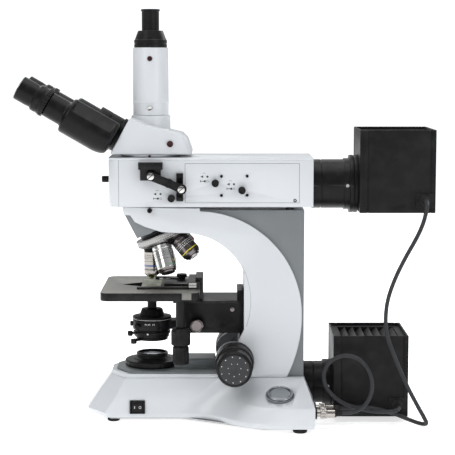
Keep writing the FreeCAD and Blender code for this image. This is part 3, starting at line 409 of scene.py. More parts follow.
def finish(name, colour, roughness, metal=0.0, grain=(900.0, 0.5, 0.06), dust=0.0,
           edge=(0.0, (0.5, 0.5, 0.5)), mottle=0.06, coat=0.0, lathe=0.0, specular=0.5):
    """A procedural material; colours are linear, grain is (size, roundness, depth)."""
    material = bpy.data.materials.new(name)
    material.use_nodes = True
    tree = material.node_tree
    shader = tree.nodes["Principled BSDF"]
    shader.inputs["Metallic"].default_value = metal
    shader.inputs["Specular IOR Level"].default_value = specular
    shader.inputs["IOR"].default_value = 1.5
    shader.inputs["Coat Weight"].default_value = coat
    shader.inputs["Coat Roughness"].default_value = 0.12
    size, roundness, depth = grain
    surface = add(tree, "ShaderNodeGroup", node_tree=grain_group)
    surface.inputs["Size"].default_value = size
    surface.inputs["Roundness"].default_value = roundness
    tone = ramp(tree, surface.outputs["Mottle"], 0.3, 0.7, 1 - mottle, 1 + mottle)
    base = add(tree, "ShaderNodeVectorMath", operation="SCALE")
    base.inputs[0].default_value = colour
    tree.links.new(tone, base.inputs["Scale"])
    paint = base.outputs[0]
    rough = ramp(tree, surface.outputs["Mottle"], 0.3, 0.7, roughness * 0.88, roughness * 1.12)
    height = surface.outputs["Height"]
    if lathe:
        marks = add(tree, "ShaderNodeGroup", node_tree=lathe_group)
        marks.inputs["Pitch"].default_value = LATHE_PITCH
        shade = ramp(tree, marks.outputs["Shade"], 0, 1, 1 - 0.5 * lathe, 1 + 0.3 * lathe)
        streaked = add(tree, "ShaderNodeVectorMath", operation="SCALE")
        tree.links.new(paint, streaked.inputs[0])
        tree.links.new(shade, streaked.inputs["Scale"])
        paint = streaked.outputs[0]
        height = math_node(tree, "ADD", math_node(tree, "MULTIPLY", height, 0.3), marks.outputs["Height"])
    # Edge tint: wear on rounded edges and a painted highlight along them; dust: real dust on surfaces that
    # face up.
    for group, amount, tint, rougher in (
        (edge_group, edge[0], edge[1], 0.32),
        (dust_group, dust, DUST_COLOUR, 0.8),
    ):
        if not amount:
            continue
        mask = add(tree, "ShaderNodeGroup", node_tree=group)
        mask.inputs["Amount"].default_value = amount
        blend = add(tree, "ShaderNodeMix", data_type="RGBA")
        tree.links.new(mask.outputs["Mask"], blend.inputs["Factor"])
        tree.links.new(paint, blend.inputs[6])
        blend.inputs[7].default_value = (*tint, 1)
        paint = blend.outputs[2]
        even = add(tree, "ShaderNodeMix")
        tree.links.new(mask.outputs["Mask"], even.inputs["Factor"])
        tree.links.new(rough, even.inputs["A"])
        even.inputs["B"].default_value = rougher
        rough = even.outputs["Result"]
    bump = add(tree, "ShaderNodeBump", {"Height": height}, Strength=depth * 10, Distance=GRAIN_HEIGHT)
    tree.links.new(paint, shader.inputs["Base Color"])
    tree.links.new(rough, shader.inputs["Roughness"])
    tree.links.new(bump.outputs[0], shader.inputs["Normal"])
    return material


# %% Paints and plastics
WHITE = finish("white_paint", (0.6, 0.622, 0.648), 0.34, grain=(520, 0.2, 0.05), dust=0.05,
               coat=0.25, mottle=0.012)
ARM_GREY = finish("arm_grey", (0.175, 0.188, 0.197), 0.42, grain=(1500, 0.6, 0.07), dust=0.06,
                  coat=0.1, mottle=0.03)
DECK_GREY = finish("deck_grey", (0.135, 0.15, 0.158), 0.45, grain=(1700, 0.7, 0.08), dust=0.12,
                   coat=0.05, mottle=0.04)
BLACK = finish("black_metal", (0.0055, 0.0055, 0.0062), 0.34, grain=(2600, 0.5, 0.05), dust=0.05,
               edge=(0.35, (0.11, 0.11, 0.115)), mottle=0.03, specular=0.16)
# The lighter edge tint here is partly wear and partly a painted highlight along the rounded edges of the lamp
# houses.
LAMP_BLACK = finish("lamp_black", (0.0052, 0.0052, 0.0058), 0.42, grain=(1300, 0.8, 0.06), dust=0.06,
                    edge=(0.12, (0.05, 0.05, 0.053)), mottle=0.03, specular=0.16)
PLASTIC = finish("black_plastic", (0.0075, 0.0075, 0.0082), 0.36, grain=(2200, 0.6, 0.06),
                 dust=0.05, mottle=0.03,
                 edge=(0.2, (0.07, 0.07, 0.073)), specular=0.16)
RUBBER = finish("rubber", (0.014, 0.014, 0.015), 0.78, grain=(1800, 0.8, 0.1), dust=0.15,
                mottle=0.03, specular=0.16)
CORD = finish("cord_sleeve", (0.032, 0.033, 0.036), 0.5, grain=(1500, 0.5, 0.06), dust=0.05,
              mottle=0.03, specular=0.16)
STAGE_BLACK = finish("stage_black", (0.0065, 0.0065, 0.007), 0.38, grain=(2400, 0.6, 0.05), dust=0.08,
                     edge=(0.4, (0.13, 0.13, 0.13)), mottle=0.03, specular=0.16)
# Lighter grey: the real grey of the index block, and a painted sheen on the top faces of the stage plate.
STAGE_GREY_AND_SHEEN = finish("stage_grey", (0.17, 0.163, 0.148), 0.42, metal=0.25, grain=(2400, 0.6, 0.05), dust=0.08,
                    edge=(0.3, (0.45, 0.44, 0.42)), mottle=0.06)
MARKS = finish("white_marks", (0.78, 0.78, 0.76), 0.55, grain=(2500, 0.5, 0.04), mottle=0.05)
INK = finish("dark_marks", (0.045, 0.048, 0.052), 0.5, grain=(2500, 0.5, 0.04), mottle=0.1)
BOARD = finish("circuit_board", (0.03, 0.085, 0.045), 0.45, grain=(900, 0.5, 0.05), mottle=0.25, coat=0.3)
print("paints and plastics:", WHITE.name, ARM_GREY.name, BLACK.name, LAMP_BLACK.name)

# %% Metals and colour rings
CHROME = finish("chrome", (0.66, 0.655, 0.64), 0.13, metal=1.0, grain=(2000, 0.5, 0.02),
                lathe=0.12, mottle=0.03)
NICKEL = finish("nickel", (0.41, 0.385, 0.36), 0.19, metal=1.0, grain=(2000, 0.5, 0.03),
                lathe=0.25, mottle=0.05)
GUNMETAL = finish("gunmetal", (0.17, 0.15, 0.15), 0.2, metal=1.0, grain=(2000, 0.5, 0.03),
                  lathe=0.25, mottle=0.05)
TURNED = finish("turret_metal", (0.34, 0.335, 0.33), 0.24, metal=1.0, grain=(2000, 0.5, 0.04),
                lathe=0.4, mottle=0.05)
STEEL = finish("steel", (0.45, 0.45, 0.455), 0.3, metal=1.0, grain=(1400, 0.4, 0.05), mottle=0.08)
BRASS = finish("brass", (0.6, 0.45, 0.2), 0.3, metal=1.0, grain=(1400, 0.4, 0.05), mottle=0.08)
DIAL_GREY = finish("dial_grey", (0.3, 0.315, 0.335), 0.3, metal=0.85, grain=(2000, 0.5, 0.04),
                   lathe=0.5, mottle=0.04)
MIRROR = finish("mirror", (0.9, 0.9, 0.9), 0.04, metal=1.0, grain=(800, 0.5, 0.005), mottle=0.02)
BLUE = finish("blue_ring", (0.02, 0.09, 0.42), 0.3, grain=(2500, 0.5, 0.03), mottle=0.08, coat=0.3)
GREEN = finish("green_ring", (0.02, 0.26, 0.09), 0.3, grain=(2500, 0.5, 0.03), mottle=0.08, coat=0.3)
YELLOW = finish("yellow_ring", (0.8, 0.66, 0.02), 0.3, grain=(2500, 0.5, 0.03), mottle=0.08, coat=0.3)
RED = finish("red_ring", (0.5, 0.03, 0.02), 0.3, grain=(2500, 0.5, 0.03), mottle=0.08, coat=0.3)
KNOB_FACE = finish("knob_face", (0.021, 0.022, 0.0245), 0.3, grain=(2400, 0.5, 0.05), dust=0.06, lathe=0.25,
                   mottle=0.08, specular=0.35)
OXIDE = finish("dark_screw", (0.05, 0.018, 0.02), 0.32, metal=0.7, grain=(2000, 0.5, 0.04), mottle=0.1)
SAMPLE = finish("dried_sample", (0.2, 0.19, 0.08), 0.6, grain=(600, 0.6, 0.1), mottle=0.35)
print("metals:", CHROME.name, TURNED.name, DIAL_GREY.name)


# %% Glass: clear for lenses and the slide, faintly tinted
def glass(name, tint, roughness=0.02):
    """Plain transmission, with a smear in the roughness only."""
    material = bpy.data.materials.new(name)
    material.use_nodes = True
    tree = material.node_tree
    shader = tree.nodes["Principled BSDF"]
    shader.inputs["Base Color"].default_value = (*tint, 1)
    shader.inputs["Transmission Weight"].default_value = 1.0
    shader.inputs["IOR"].default_value = 1.5
    surface = add(tree, "ShaderNodeGroup", node_tree=grain_group)
    surface.inputs["Size"].default_value = 120.0
    smear = ramp(tree, surface.outputs["Mottle"], 0.35, 0.7, roughness, roughness + 0.06)
    tree.links.new(smear, shader.inputs["Roughness"])
    return material


GLASS = glass("clear_glass", (0.93, 0.97, 0.95))
COATED = glass("coated_glass", (0.05, 0.065, 0.1))
SLIDE = glass("slide_glass", (0.42, 0.45, 0.27), 0.3)
for cord_name, (lead, *_) in CORDS.items():
    lead.data.materials.append(CORD)
print("glass:", GLASS.name, COATED.name)

# %% [markdown]
# ## Castings and machined blocks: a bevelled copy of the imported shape
#
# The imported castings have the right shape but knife-sharp edges, and real edges are never sharp: paint
# rounds them and they catch the light. A bevel modifier could do it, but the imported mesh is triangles
# with split corners, and a bevel needs whole faces. So the shape is copied, its corners are welded, flat
# triangles are dissolved into whole faces, and only then are the sharp edges rounded. Where two rounded
# edges run into each other, a point may be thrown off the shape, and it is put back on the surface.

# %% Copy, weld and bevel
WELD = 0.002 * MM
EDGE_ANGLE = math.radians(28)
STRAY = 0.8


def dressed(node, material, width, segments=2, paint=None, spare=None):
    """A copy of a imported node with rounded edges.

    paint(face) picks a material by number, and spare=(centre, radius) leaves the edges there sharp.
    """
    bm = bmesh.new()
    bm.from_mesh(frame["nodes"][node].data)
    bmesh.ops.remove_doubles(bm, verts=bm.verts, dist=WELD)
    bmesh.ops.dissolve_limit(bm, angle_limit=math.radians(0.3), verts=bm.verts, edges=bm.edges)
    corners = [e for e in bm.edges if len(e.link_faces) == 2 and e.calc_face_angle(0) > EDGE_ANGLE]
    if spare:
        centre, radius = spare
        middles = [(e, sum((v.co for v in e.verts), Vector()) / 2) for e in corners]
        corners = [e for e, middle in middles if (middle - centre).length > radius]
    if width:
        before = BVHTree.FromBMesh(bm)
        bmesh.ops.bevel(bm, geom=corners, offset=width * MM, segments=segments, profile=0.5, affect="EDGES",
                        clamp_overlap=False)
        for vert in bm.verts:
            nearest, _, _, distance = before.find_nearest(vert.co)
            if distance > STRAY * width * MM:
                vert.co = nearest
    for face in bm.faces:
        face.material_index = paint(face) if paint else 0
    mesh = bpy.data.meshes.new(node)
    bm.to_mesh(mesh)
    bm.free()
    piece(node + "_finished", mesh, material, BODY_OF[node], [node])
    print("    rounded corners:", len(corners) if width else 0)


# %% [markdown]
# ## Turned pieces
#
# Knobs, rings, tubes and objectives come off a lathe, so one function makes them all: a profile of
# (radius, height) points is spun about an axis. Corners of the profile are rounded first, because a
# turned corner always has a small radius. A carve function can cut ribs, knurls or a hexagon into the
# rings, which real knurling tools and broaches do. The function also stores how far round and how far
# along the profile each point lies, and the lathe-mark effect reads that.

# %% Soften a profile's corners
def softened(profile, radius):
    """The profile with each inner corner replaced by a short curve."""
    points = [Vector(point[:2]) for point in profile]
    made = [points[0]]
    for before, corner, after in zip(points, points[1:], points[2:]):
        to_before, to_after = before - corner, after - corner
        reach = min(radius, to_before.length * 0.45, to_after.length * 0.45)
        straight = to_before.length < 1e-6 or to_after.length < 1e-6 or to_before.angle(to_after) > 3.0
        if straight or reach < 0.01:
            made.append(corner)
            continue
        first = corner + to_before.normalized() * reach
        last = corner + to_after.normalized() * reach
        for share in (0, 1 / 3, 2 / 3, 1):
            made.append((1 - share) ** 2 * first + 2 * share * (1 - share) * corner + share ** 2 * last)
    made.append(points[-1])
    return made


# %% Spin it
def lathe(profile, spin=72, soft=0.35, carve=None, fine=None, bands=()):
    """A bmesh turned about Z from (radius, height) in mm.

    fine=(low, high, step) adds rings between two heights, carve(angle, height, radius) is the depth cut
    there, and bands=[(low, high, material number)] paints rings of the outside.
    """
    points = softened(profile, soft)
    if fine:
        low, high, step = fine
        filled = [points[0]]
        for start, end in zip(points, points[1:]):
            inside = min(start.y, end.y) > low - 0.01 and max(start.y, end.y) < high + 0.01
            parts = max(1, math.ceil(abs(end.y - start.y) / step)) if inside else 1
            filled += [start.lerp(end, n / parts) for n in range(1, parts + 1)]
        points = filled
    bm = bmesh.new()
    layer = bm.loops.layers.float_vector.new("turned")
    rings, along = [], 0.0
    for number, point in enumerate(points):
        along += (point - points[number - 1]).length if number else 0
        if point.x < 1e-4:
            rings.append(([bm.verts.new((0, 0, point.y * MM))], along))
            continue
        ring = []
        for side in range(spin):
            angle = 2 * math.pi * side / spin
            depth = carve(angle, point.y, point.x) if carve else 0
            radius = (point.x - depth) * MM
            ring.append(bm.verts.new((radius * math.cos(angle), radius * math.sin(angle), point.y * MM)))
        rings.append((ring, along))
    for (before, start), (after, end) in zip(rings, rings[1:]):
        if len(before) == len(after) == 1:
            continue
        for side in range(spin):
            following = (side + 1) % spin
            corners = [(before, side, start), (before, following, start),
                       (after, following, end), (after, side, end)]
            if len(before) == 1:
                corners = corners[1:]
            elif len(after) == 1:
                corners = corners[:3]
            face = bm.faces.new([ring[index % len(ring)] for ring, index, _ in corners])
            for loop, (ring, index, place) in zip(face.loops, corners):
                share = (side + (1 if index == following else 0)) / spin
                loop[layer] = (share, place * MM, 0)
            middle = sum(loop.vert.co.z for loop in face.loops) / len(face.loops) / MM
            for low, high, paint in bands:
                if low < middle < high:
                    face.material_index = paint
    for end_ring in (rings[0][0], rings[-1][0]):
        if len(end_ring) > 1 and points[0] != points[-1]:
            bm.faces.new(end_ring)
    if points[0] == points[-1]:
        bmesh.ops.remove_doubles(bm, verts=bm.verts, dist=WELD)
    return bm


def moved(bm, origin, way=(0, 0, 1), roll=0.0):
    """Stand a bmesh made about Z at a point, facing a direction."""
    turn = Vector(way).to_track_quat("Z", "Y").to_matrix().to_4x4() @ Matrix.Rotation(roll, 4, "Z")
    bm.transform(Matrix.Translation(origin) @ turn)
    return bm


def merged(*parts):
    """One bmesh from several."""
    whole = bmesh.new()
    for part in parts:
        passing = bpy.data.meshes.new("passing")
        part.to_mesh(passing)
        part.free()
        whole.from_mesh(passing)
        bpy.data.meshes.remove(passing)
    return whole


def turned_piece(name, bm, material, node, stands_for=None):
    """Name a turned bmesh and let it stand for its node."""
    nodes = [node] if stands_for is None else stands_for
    return piece(name, mesh_from(bm), material, BODY_OF[node], nodes)


# %% Cuts that a lathe's tools make
def ribs(count, depth, low, high):
    """Straight grooves along the axis, each as wide as the rib beside it."""
    def carve(angle, height, radius):
        inside = low < height < high
        phase = (angle * count / (2 * math.pi)) % 1
        return depth if inside and phase > 0.5 else 0
    return carve


def knurl(count, depth, low, high, lead):
    """A diamond knurl: two families of grooves that lean opposite ways."""
    def carve(angle, height, radius):
        if not low < height < high:
            return 0
        turn = angle * count / (2 * math.pi)
        waves = [abs(math.sin(math.pi * (turn + lean))) for lean in (height * lead, -height * lead)]
        return depth * max(waves) ** 3
    return carve


# %% [markdown]
# ## Flat shapes, marks and engraved lines
#
# Marks on an instrument are printed or engraved and filled with paint. They are thin raised shapes here,
# at most a quarter of a millimetre proud of the surface, so that they stay crisp from any angle and leave
# with the mesh. Every mark is generic: arrows, dots, bars and rings that show what a control does.

# %% Thin shapes on a plane
MARK_THICK = 0.09


def dot(x, y, radius, sides=24):
    """A round spot as a polygon."""
    return [(x + radius * math.cos(2 * math.pi * n / sides), y + radius * math.sin(2 * math.pi * n / sides))
            for n in range(sides)]


def stroke(x1, y1, x2, y2, width):
    """A straight bar between two points."""
    along = Vector((x2 - x1, y2 - y1)).normalized() * (width / 2)
    across = Vector((-along.y, along.x))
    return [(x1 + across.x, y1 + across.y), (x1 - across.x, y1 - across.y),
            (x2 - across.x, y2 - across.y), (x2 + across.x, y2 + across.y)]


def arc_strokes(x, y, radius, start, end, width, parts=24):
    """A curved line as short bars; angles in degrees."""
    angles = [math.radians(start + (end - start) * n / parts) for n in range(parts + 1)]
    points = [(x + radius * math.cos(a), y + radius * math.sin(a)) for a in angles]
    return [stroke(*p, *q, width) for p, q in zip(points, points[1:])]


def on_plane(shapes, origin, right, up, thick=MARK_THICK):
    """A bmesh of flat shapes in mm raised from a plane."""
    right, up = Vector(right).normalized(), Vector(up).normalized()
    normal = right.cross(up)
    bm = bmesh.new()
    for shape in shapes:
        low = [bm.verts.new(origin + (right * u + up * v - normal * 0.05) * MM) for u, v in shape]
        high = [bm.verts.new(vert.co + normal * (thick + 0.05) * MM) for vert in low]
        bm.faces.new(high)
        bm.faces.new(low[::-1])
        for n in range(len(shape)):
            following = (n + 1) % len(shape)
            bm.faces.new((low[n], low[following], high[following], high[n]))
    return bm


def marks(name, shapes, origin, right, up, material, body, slot, thick=MARK_THICK):
    """A piece of flat shapes raised from a plane."""
    return piece(name, mesh_from(on_plane(shapes, origin, right, up, thick)), material, body)


def prism(outline, low, high, soft=0.0, segments=2):
    """An outline of (x, y) mm raised along Z between two heights, with softened edges."""
    bm = bmesh.new()
    bottom = [bm.verts.new((x * MM, y * MM, low * MM)) for x, y in outline]
    face = bm.faces.new(bottom)
    lifted = bmesh.ops.extrude_face_region(bm, geom=[face])["geom"]
    for vert in [v for v in lifted if isinstance(v, bmesh.types.BMVert)]:
        vert.co.z = high * MM
    bmesh.ops.recalc_face_normals(bm, faces=bm.faces)
    if soft:
        sharp = [e for e in bm.edges if e.calc_face_angle(0) > EDGE_ANGLE]
        bmesh.ops.bevel(bm, geom=sharp, offset=soft * MM, segments=segments, profile=0.5, affect="EDGES",
                        clamp_overlap=True)
    return bm


def brick(x1, x2, y1, y2, z1, z2, soft=0.3):
    """A block between two corners, in mm from the optical axis, with softened edges."""
    bm = prism([(x1, y1), (x2, y1), (x2, y2), (x1, y2)], z1, z2, soft)
    bm.transform(Matrix.Translation((AXIS_X, 0, 0)))
    return bm


LEFT, RIGHT, NEAR, FAR, UP = (-1, 0, 0), (1, 0, 0), (0, -1, 0), (0, 1, 0), (0, 0, 1)
AXIS = at(0, 0, 0)


def rectangle(half_x, half_y):
    """The outline of a rectangle about the origin."""
    return [(-half_x, -half_y), (half_x, -half_y), (half_x, half_y), (-half_x, half_y)]


def socket_screw(radius, height, key):
    """A cap screw with a hexagon socket, made about Z."""
    def hexagon(angle, level, reach):
        within = (angle % (math.pi / 3)) - math.pi / 6
        return key * (1 - math.cos(math.pi / 6) / math.cos(within)) if abs(reach - key) < 0.02 else 0

    profile = [(0, 0), (radius, 0), (radius, height), (key + 0.05, height), (key, height - 0.02),
               (key, height * 0.45), (0, height * 0.4)]
    return lathe(profile, spin=48, soft=0.15, carve=hexagon)


print("lathe, marks and blocks are ready")

# %% [markdown]
# ## Base, column and head castings
#
# The big white parts are aluminium castings: poured, machined where they meet, filled, and sprayed with
# a hard pale paint. The column is painted slate grey and left between two white cheeks. All of them are
# bevelled copies, with a wider radius where the pattern maker would leave one.

# %% Castings
dressed("base_casting", WHITE, 0.8, 2, spare=(at(172, -88, 46), 24 * MM))
dressed("base_deck", DECK_GREY, 0.7, 2)
dressed("arm_core", ARM_GREY, 0.7, 2)
dressed("side_panels", WHITE, 0.9, 3)
dressed("illuminator_box", WHITE, 0.6, 2)
dressed("illuminator_lid", WHITE, 0.45, 2)
dressed("head_casting", WHITE, 1.6, 4)
dressed("slot_block", PLASTIC, 0.35, 2)

# %% [markdown]
# ## Lamp houses
#
# Each lamp house is a folded steel box in black powder coat, made as a body with an end cap at each end,
# so two narrow seams run round it. Hot air leaves through a lid of slanted slats: they let air out but
# hide the lamp from most angles. A small plate covers the terminals where the cord goes in.

# %% Houses and slatted lids
dressed("lamp_houses", LAMP_BLACK, 0.9, 2)
HOUSE_LENGTH, HOUSE_HALF, HOUSE_TALL = 100.4, 52.0, 110.0
UPPER_HOUSE, LOWER_HOUSE = (277.8, 282.7), (244.8, 8.0)
SLATS, SLAT_THICK, SLAT_LEAN = 7, 1.6, math.radians(38)


def slatted_lid(x, z):
    """A rim and slanted slats sunk into the top of a house."""
    top, low = z + HOUSE_TALL - 4, z + HOUSE_TALL - 14
    left, right, side, rim = x + 2.6, x + HOUSE_LENGTH - 2.6, HOUSE_HALF - 2.6, 9
    parts = [
        brick(left, left + rim, -side, side, low, top, 0.6),
        brick(right - rim, right, -side, side, low, top, 0.6),
        brick(left + rim, right - rim, -side, rim - side, low, top, 0.6),
        brick(left + rim, right - rim, side - rim, side, low, top, 0.6),
    ]
    pitch = (right - left - 2 * rim) / SLATS
    for number in range(SLATS):
        middle = left + rim + pitch * (number + 0.5)
        slat = prism(rectangle(6.2, side - rim + 0.5), -SLAT_THICK / 2, SLAT_THICK / 2, 0.4)
        lean = Matrix.Rotation(-SLAT_LEAN, 4, "Y")
        slat.transform(Matrix.Translation(at(middle, 0, (low + top) / 2)) @ lean)
        parts.append(slat)
    return merged(*parts)


piece("lamp_lids", mesh_from(merged(slatted_lid(*UPPER_HOUSE), slatted_lid(*LOWER_HOUSE))), LAMP_BLACK,
      "stand", ["lamp_grilles"])

# %% Terminal plates and their screws
plates = []
for x, z in (UPPER_HOUSE, LOWER_HOUSE):
    near_wall = at(x, -HOUSE_HALF, z)
    plates.append(on_plane([[(74.5, 6.5), (98, 6.5), (98, 26), (74.5, 26)]], near_wall, RIGHT, UP, 0.8))
    for u, v in ((6, 8), (6, 102), (97, 102)):
        plates.append(on_plane([dot(u, v, 1.9)], near_wall, RIGHT, UP, 0.7))
piece("lamp_plates", mesh_from(merged(*plates)), LAMP_BLACK, "stand")

# %% Light tubes between house and stand, stepped like a lens mount
UPPER_AXIS, LOWER_AXIS = 317.8, 45.0
upper_tube = lathe([(21, 216.6), (33, 216.6), (33, 228), (32.4, 228.4), (32.4, 229.2), (33, 229.6),
                    (33, 259.5), (34.5, 259.5), (34.5, 267), (39, 267), (39, 272), (38.2, 272.4),
                    (38.2, 273.2), (39, 273.6), (39, 277.8), (21, 277.8), (21, 216.6)], 96, 0.5)
lower_tube = lathe([(21, 206), (28.5, 206), (28.5, 219), (27.9, 219.4), (27.9, 220), (28.5, 220.4),
                    (28.5, 233), (31, 233), (31, 244.8), (21, 244.8), (21, 206)], 96, 0.5)
tubes = merged(moved(upper_tube, at(0, 0, UPPER_AXIS), RIGHT), moved(lower_tube, at(0, 0, LOWER_AXIS), RIGHT))
turned_piece("lamp_tubes_turned", tubes, BLACK, "lamp_tubes")
tube_screws = [moved(socket_screw(2.2, 1.2, 1.1), at(x, -radius + 0.3, z), NEAR)
               for x, radius, z in ((263, 34.5, UPPER_AXIS), (239, 31, LOWER_AXIS))]
piece("tube_screws", mesh_from(merged(*tube_screws)), STEEL, "stand")

# %% [markdown]
# ## Head: binocular arms, eyepieces and the photo tube
#
# The binocular is two prism housings that turn about one shared hub, so the eyepieces can be set to the
# distance between the viewer's eyes. Each housing is a turned barrel with a smooth bulge at its lower
# end. The eyepieces slide in from above and are made alike. The left one also turns in its tube, which
# sets the focus for that eye.

# %% Where the binocular stands
EYE_WAY = Vector((-math.sin(math.radians(60)), 0, math.cos(math.radians(60))))
HINGE_X, HINGE_Z = -45.3, 385.1
HINGE = at(HINGE_X, 0, HINGE_Z)
EYE_HALF_APART = 32


def eye_axis(side):
    """Foot of an eyepiece axis; side is -1 for the near one."""
    return at(HINGE_X - 4.5, EYE_HALF_APART * side, HINGE_Z - 9 * 0.866)


# %% Housings
EYE_TURN = EYE_WAY.to_track_quat("Z", "Y").to_matrix().transposed()
BULGE_LONG, BULGE_DEEP, FACET_DEEP = 20.0, 5.0, 2.6


def angle_about_eye(direction):
    """The angle round the eyepiece axis at which a world direction lies."""
    local = EYE_TURN @ Vector(direction)
    return math.atan2(local.y, local.x)


def housing_shape(side):
    """Rounds the underside at the foot and cuts one flat along the outer shoulder."""
    under = angle_about_eye((-0.5, 0, -0.87))
    facet = angle_about_eye((0.37, side * 0.66, 0.65))

    def carve(angle, height, radius):
        foot = max(0.0, 1 - height / BULGE_LONG) ** 2 * max(0.0, math.cos(angle - under)) * BULGE_DEEP
        lean = math.cos(angle - facet)
        on_facet = lean > 0.5 and 6 < height < 66 and radius > 24
        flat = radius - (radius - FACET_DEEP) / lean if on_facet else 0
        return max(foot if radius > 12 else 0, flat)
    return carve


for name, side, low, high in (("eye_arm_right", -1, 0.5, 17.4), ("eye_arm_left", 1, 17.9, 34.9)):
    barrel = lathe([(0, 0.6), (12, 0.6), (22.2, 0.8), (24, 2.2), (24.6, 5), (24.6, 67.5), (23.4, 69.6),
                    (20, 70.4), (18.2, 71), (17.4, 72.5), (17, 74), (17, 96.6), (16.2, 98), (11.8, 98),
                    (11.8, 50), (0, 50)], 144, 0.9, carve=housing_shape(side), fine=(0.6, 67.5, 3))
    hub = lathe([(9.1, low), (22, low), (22, high), (9.1, high), (9.1, low)], 80, 0.5)
    shape = merged(moved(barrel, eye_axis(side), EYE_WAY), moved(hub, HINGE, EYE_WAY))
    turned_piece(name + "_turned", shape, BLACK, name)

# %% Eyepieces with a knurled collar, a rubber-lined cup and a coated lens
for name, side in (("eyepiece_right", -1), ("eyepiece_left", 1)):
    body = lathe([(0, 60), (11.5, 60), (11.5, 98.4), (19.5, 98.4), (19.5, 104), (18.6, 105), (18.6, 107),
                  (18.0, 107.4), (18.0, 108.2), (18.6, 108.6), (18.6, 115.4), (16.2, 117.6), (16.0, 119),
                  (16.5, 124), (16.5, 140.6), (15.9, 142), (13.6, 142), (12.2, 138.8), (10.2, 138.2)],
                 96, 0.5, carve=ribs(60, 0.45, 98.9, 103.5), fine=(98.4, 104, 0.6), bands=[(141.2, 143, 1)])
    turned_piece(name + "_turned", moved(body, eye_axis(side), EYE_WAY), [BLACK, DIAL_GREY], name)
    lens = lathe([(10.3, 138), (7, 139.2), (3.5, 139.8), (0, 140)], 64, 0.1)
    lens_back = moved(lens, eye_axis(side), EYE_WAY)
    bmesh.ops.solidify(lens_back, geom=lens_back.faces[:], thickness=0.6 * MM)
    piece(name + "_lens", mesh_from(lens_back), COATED, BODY_OF[name])

# %% Hub, dovetail and the screws of the head
hub = lathe([(6, -5), (24, -5), (24, 0.2), (9, 0.2), (9, 36), (6, 36), (6, -5)], 80, 0.6)
dovetail = lathe([(16, 355.9), (40, 355.9), (43.9, 359.4), (16, 359.4), (16, 355.9)], 128, 0.2)
turned_piece("head_hub", moved(hub, HINGE, EYE_WAY), BLACK, "head_mounts")
turned_piece("head_dovetail", moved(dovetail, AXIS), WHITE, "head_mounts", stands_for=[])
clamp = lathe([(0, 0), (2.2, 0), (2.2, 3.6), (3.4, 3.6), (3.4, 5.4), (0, 5.4)], 40, 0.3)
side_screw = lathe([(0, 0), (2.4, 0), (2.4, 3), (4.2, 3), (4.2, 6), (2.0, 6), (1.8, 5), (0, 5)], 40, 0.3)
set_screw = socket_screw(1.7, 6, 0.9)
dark_screws = merged(moved(clamp, at(0, -19, 485.8), NEAR), moved(side_screw, at(27, -37, 373.6), NEAR),
                     moved(set_screw, at(0, -41, 357.8), NEAR))
turned_piece("head_screws_dark", dark_screws, OXIDE, "head_screws")
bright = lathe([(0, 0), (1.9, 0), (1.9, 5), (3.9, 5), (3.9, 12), (3, 12), (2.6, 11.2), (0, 11.2)], 48, 0.35,
               carve=ribs(28, 0.3, 5.6, 11), fine=(5, 12, 0.8))
turned_piece("head_screw_bright", moved(bright, at(0, -19.5, 419.7), NEAR), CHROME, "head_screws",
             stands_for=[])

# %% Photo tube and the camera port
tube_mesh = lathe([(18, 410.3), (24, 410.3), (24, 426.8), (24.35, 427.4), (24.3, 428), (23.95, 428.4),
                   (23.4, 500.5), (18, 500.5), (18, 410.3)], 128, 0.5)
turned_piece("photo_tube_turned", moved(tube_mesh, AXIS), WHITE, "photo_tube")
port = lathe([(12, 480), (17.9, 480), (17.9, 500.7), (22, 500.7), (22, 505), (21.4, 505.3),
              (21.4, 505.9), (22, 506.2), (22, 510.4), (21, 511.4), (16.8, 522.4), (16.4, 523),
              (11.7, 523.3), (11.6, 524), (11.6, 548.6), (12.6, 549), (12.6, 551), (12, 551.6),
              (0, 551.6), (0, 547), (9.5, 547), (9.5, 520), (12, 515), (12, 480)], 128, 0.35)
turned_piece("photo_port_turned", moved(port, AXIS), BLACK, "photo_port")
collar = lathe([(19, 404), (26.2, 404), (26.2, 409.8), (25.4, 410.3), (19, 410.3), (19, 404)],
               128, 0.4)
piece("tube_collar", mesh_from(moved(collar, AXIS)), WHITE, "head")

# %% [markdown]
# ## Controls of the reflected-light unit
#
# On such a unit a rocking lever usually swaps bright field for dark field, push-pull rods move a filter
# and a field stop, and another slides the slot. The lever's screws are the only bright spots here, because
# screws are left bare so that a driver can find their slots. Small symbols beside the rods show what each
# one does.

# %% Lever with its two slotted screws
dressed("mode_lever", PLASTIC, 0.5, 3)
WALL = -50.0
LEVER_FACE = WALL - 19.3
lever_screws = []
for x, z in ((2.3, 332.6), (42.4, 315.6)):
    seat = at(x, LEVER_FACE + 1.0, z)
    head = lathe([(0, 0), (4.6, 0), (4.6, 1.5), (0, 1.5)], spin=40, soft=0.25)
    # A thin black bar on each head stands for its slot: painted shade in the slot.
    slot = prism(rectangle(4.2, 0.5), 1.3, 1.56)
    lever_screws.append((moved(head, seat, NEAR), moved(slot, seat, NEAR, 0.7)))
piece("lever_screws", mesh_from(merged(*[pair[0] for pair in lever_screws])), CHROME, "lever")
piece("lever_slot_shade", mesh_from(merged(*[pair[1] for pair in lever_screws])), PLASTIC, "lever")

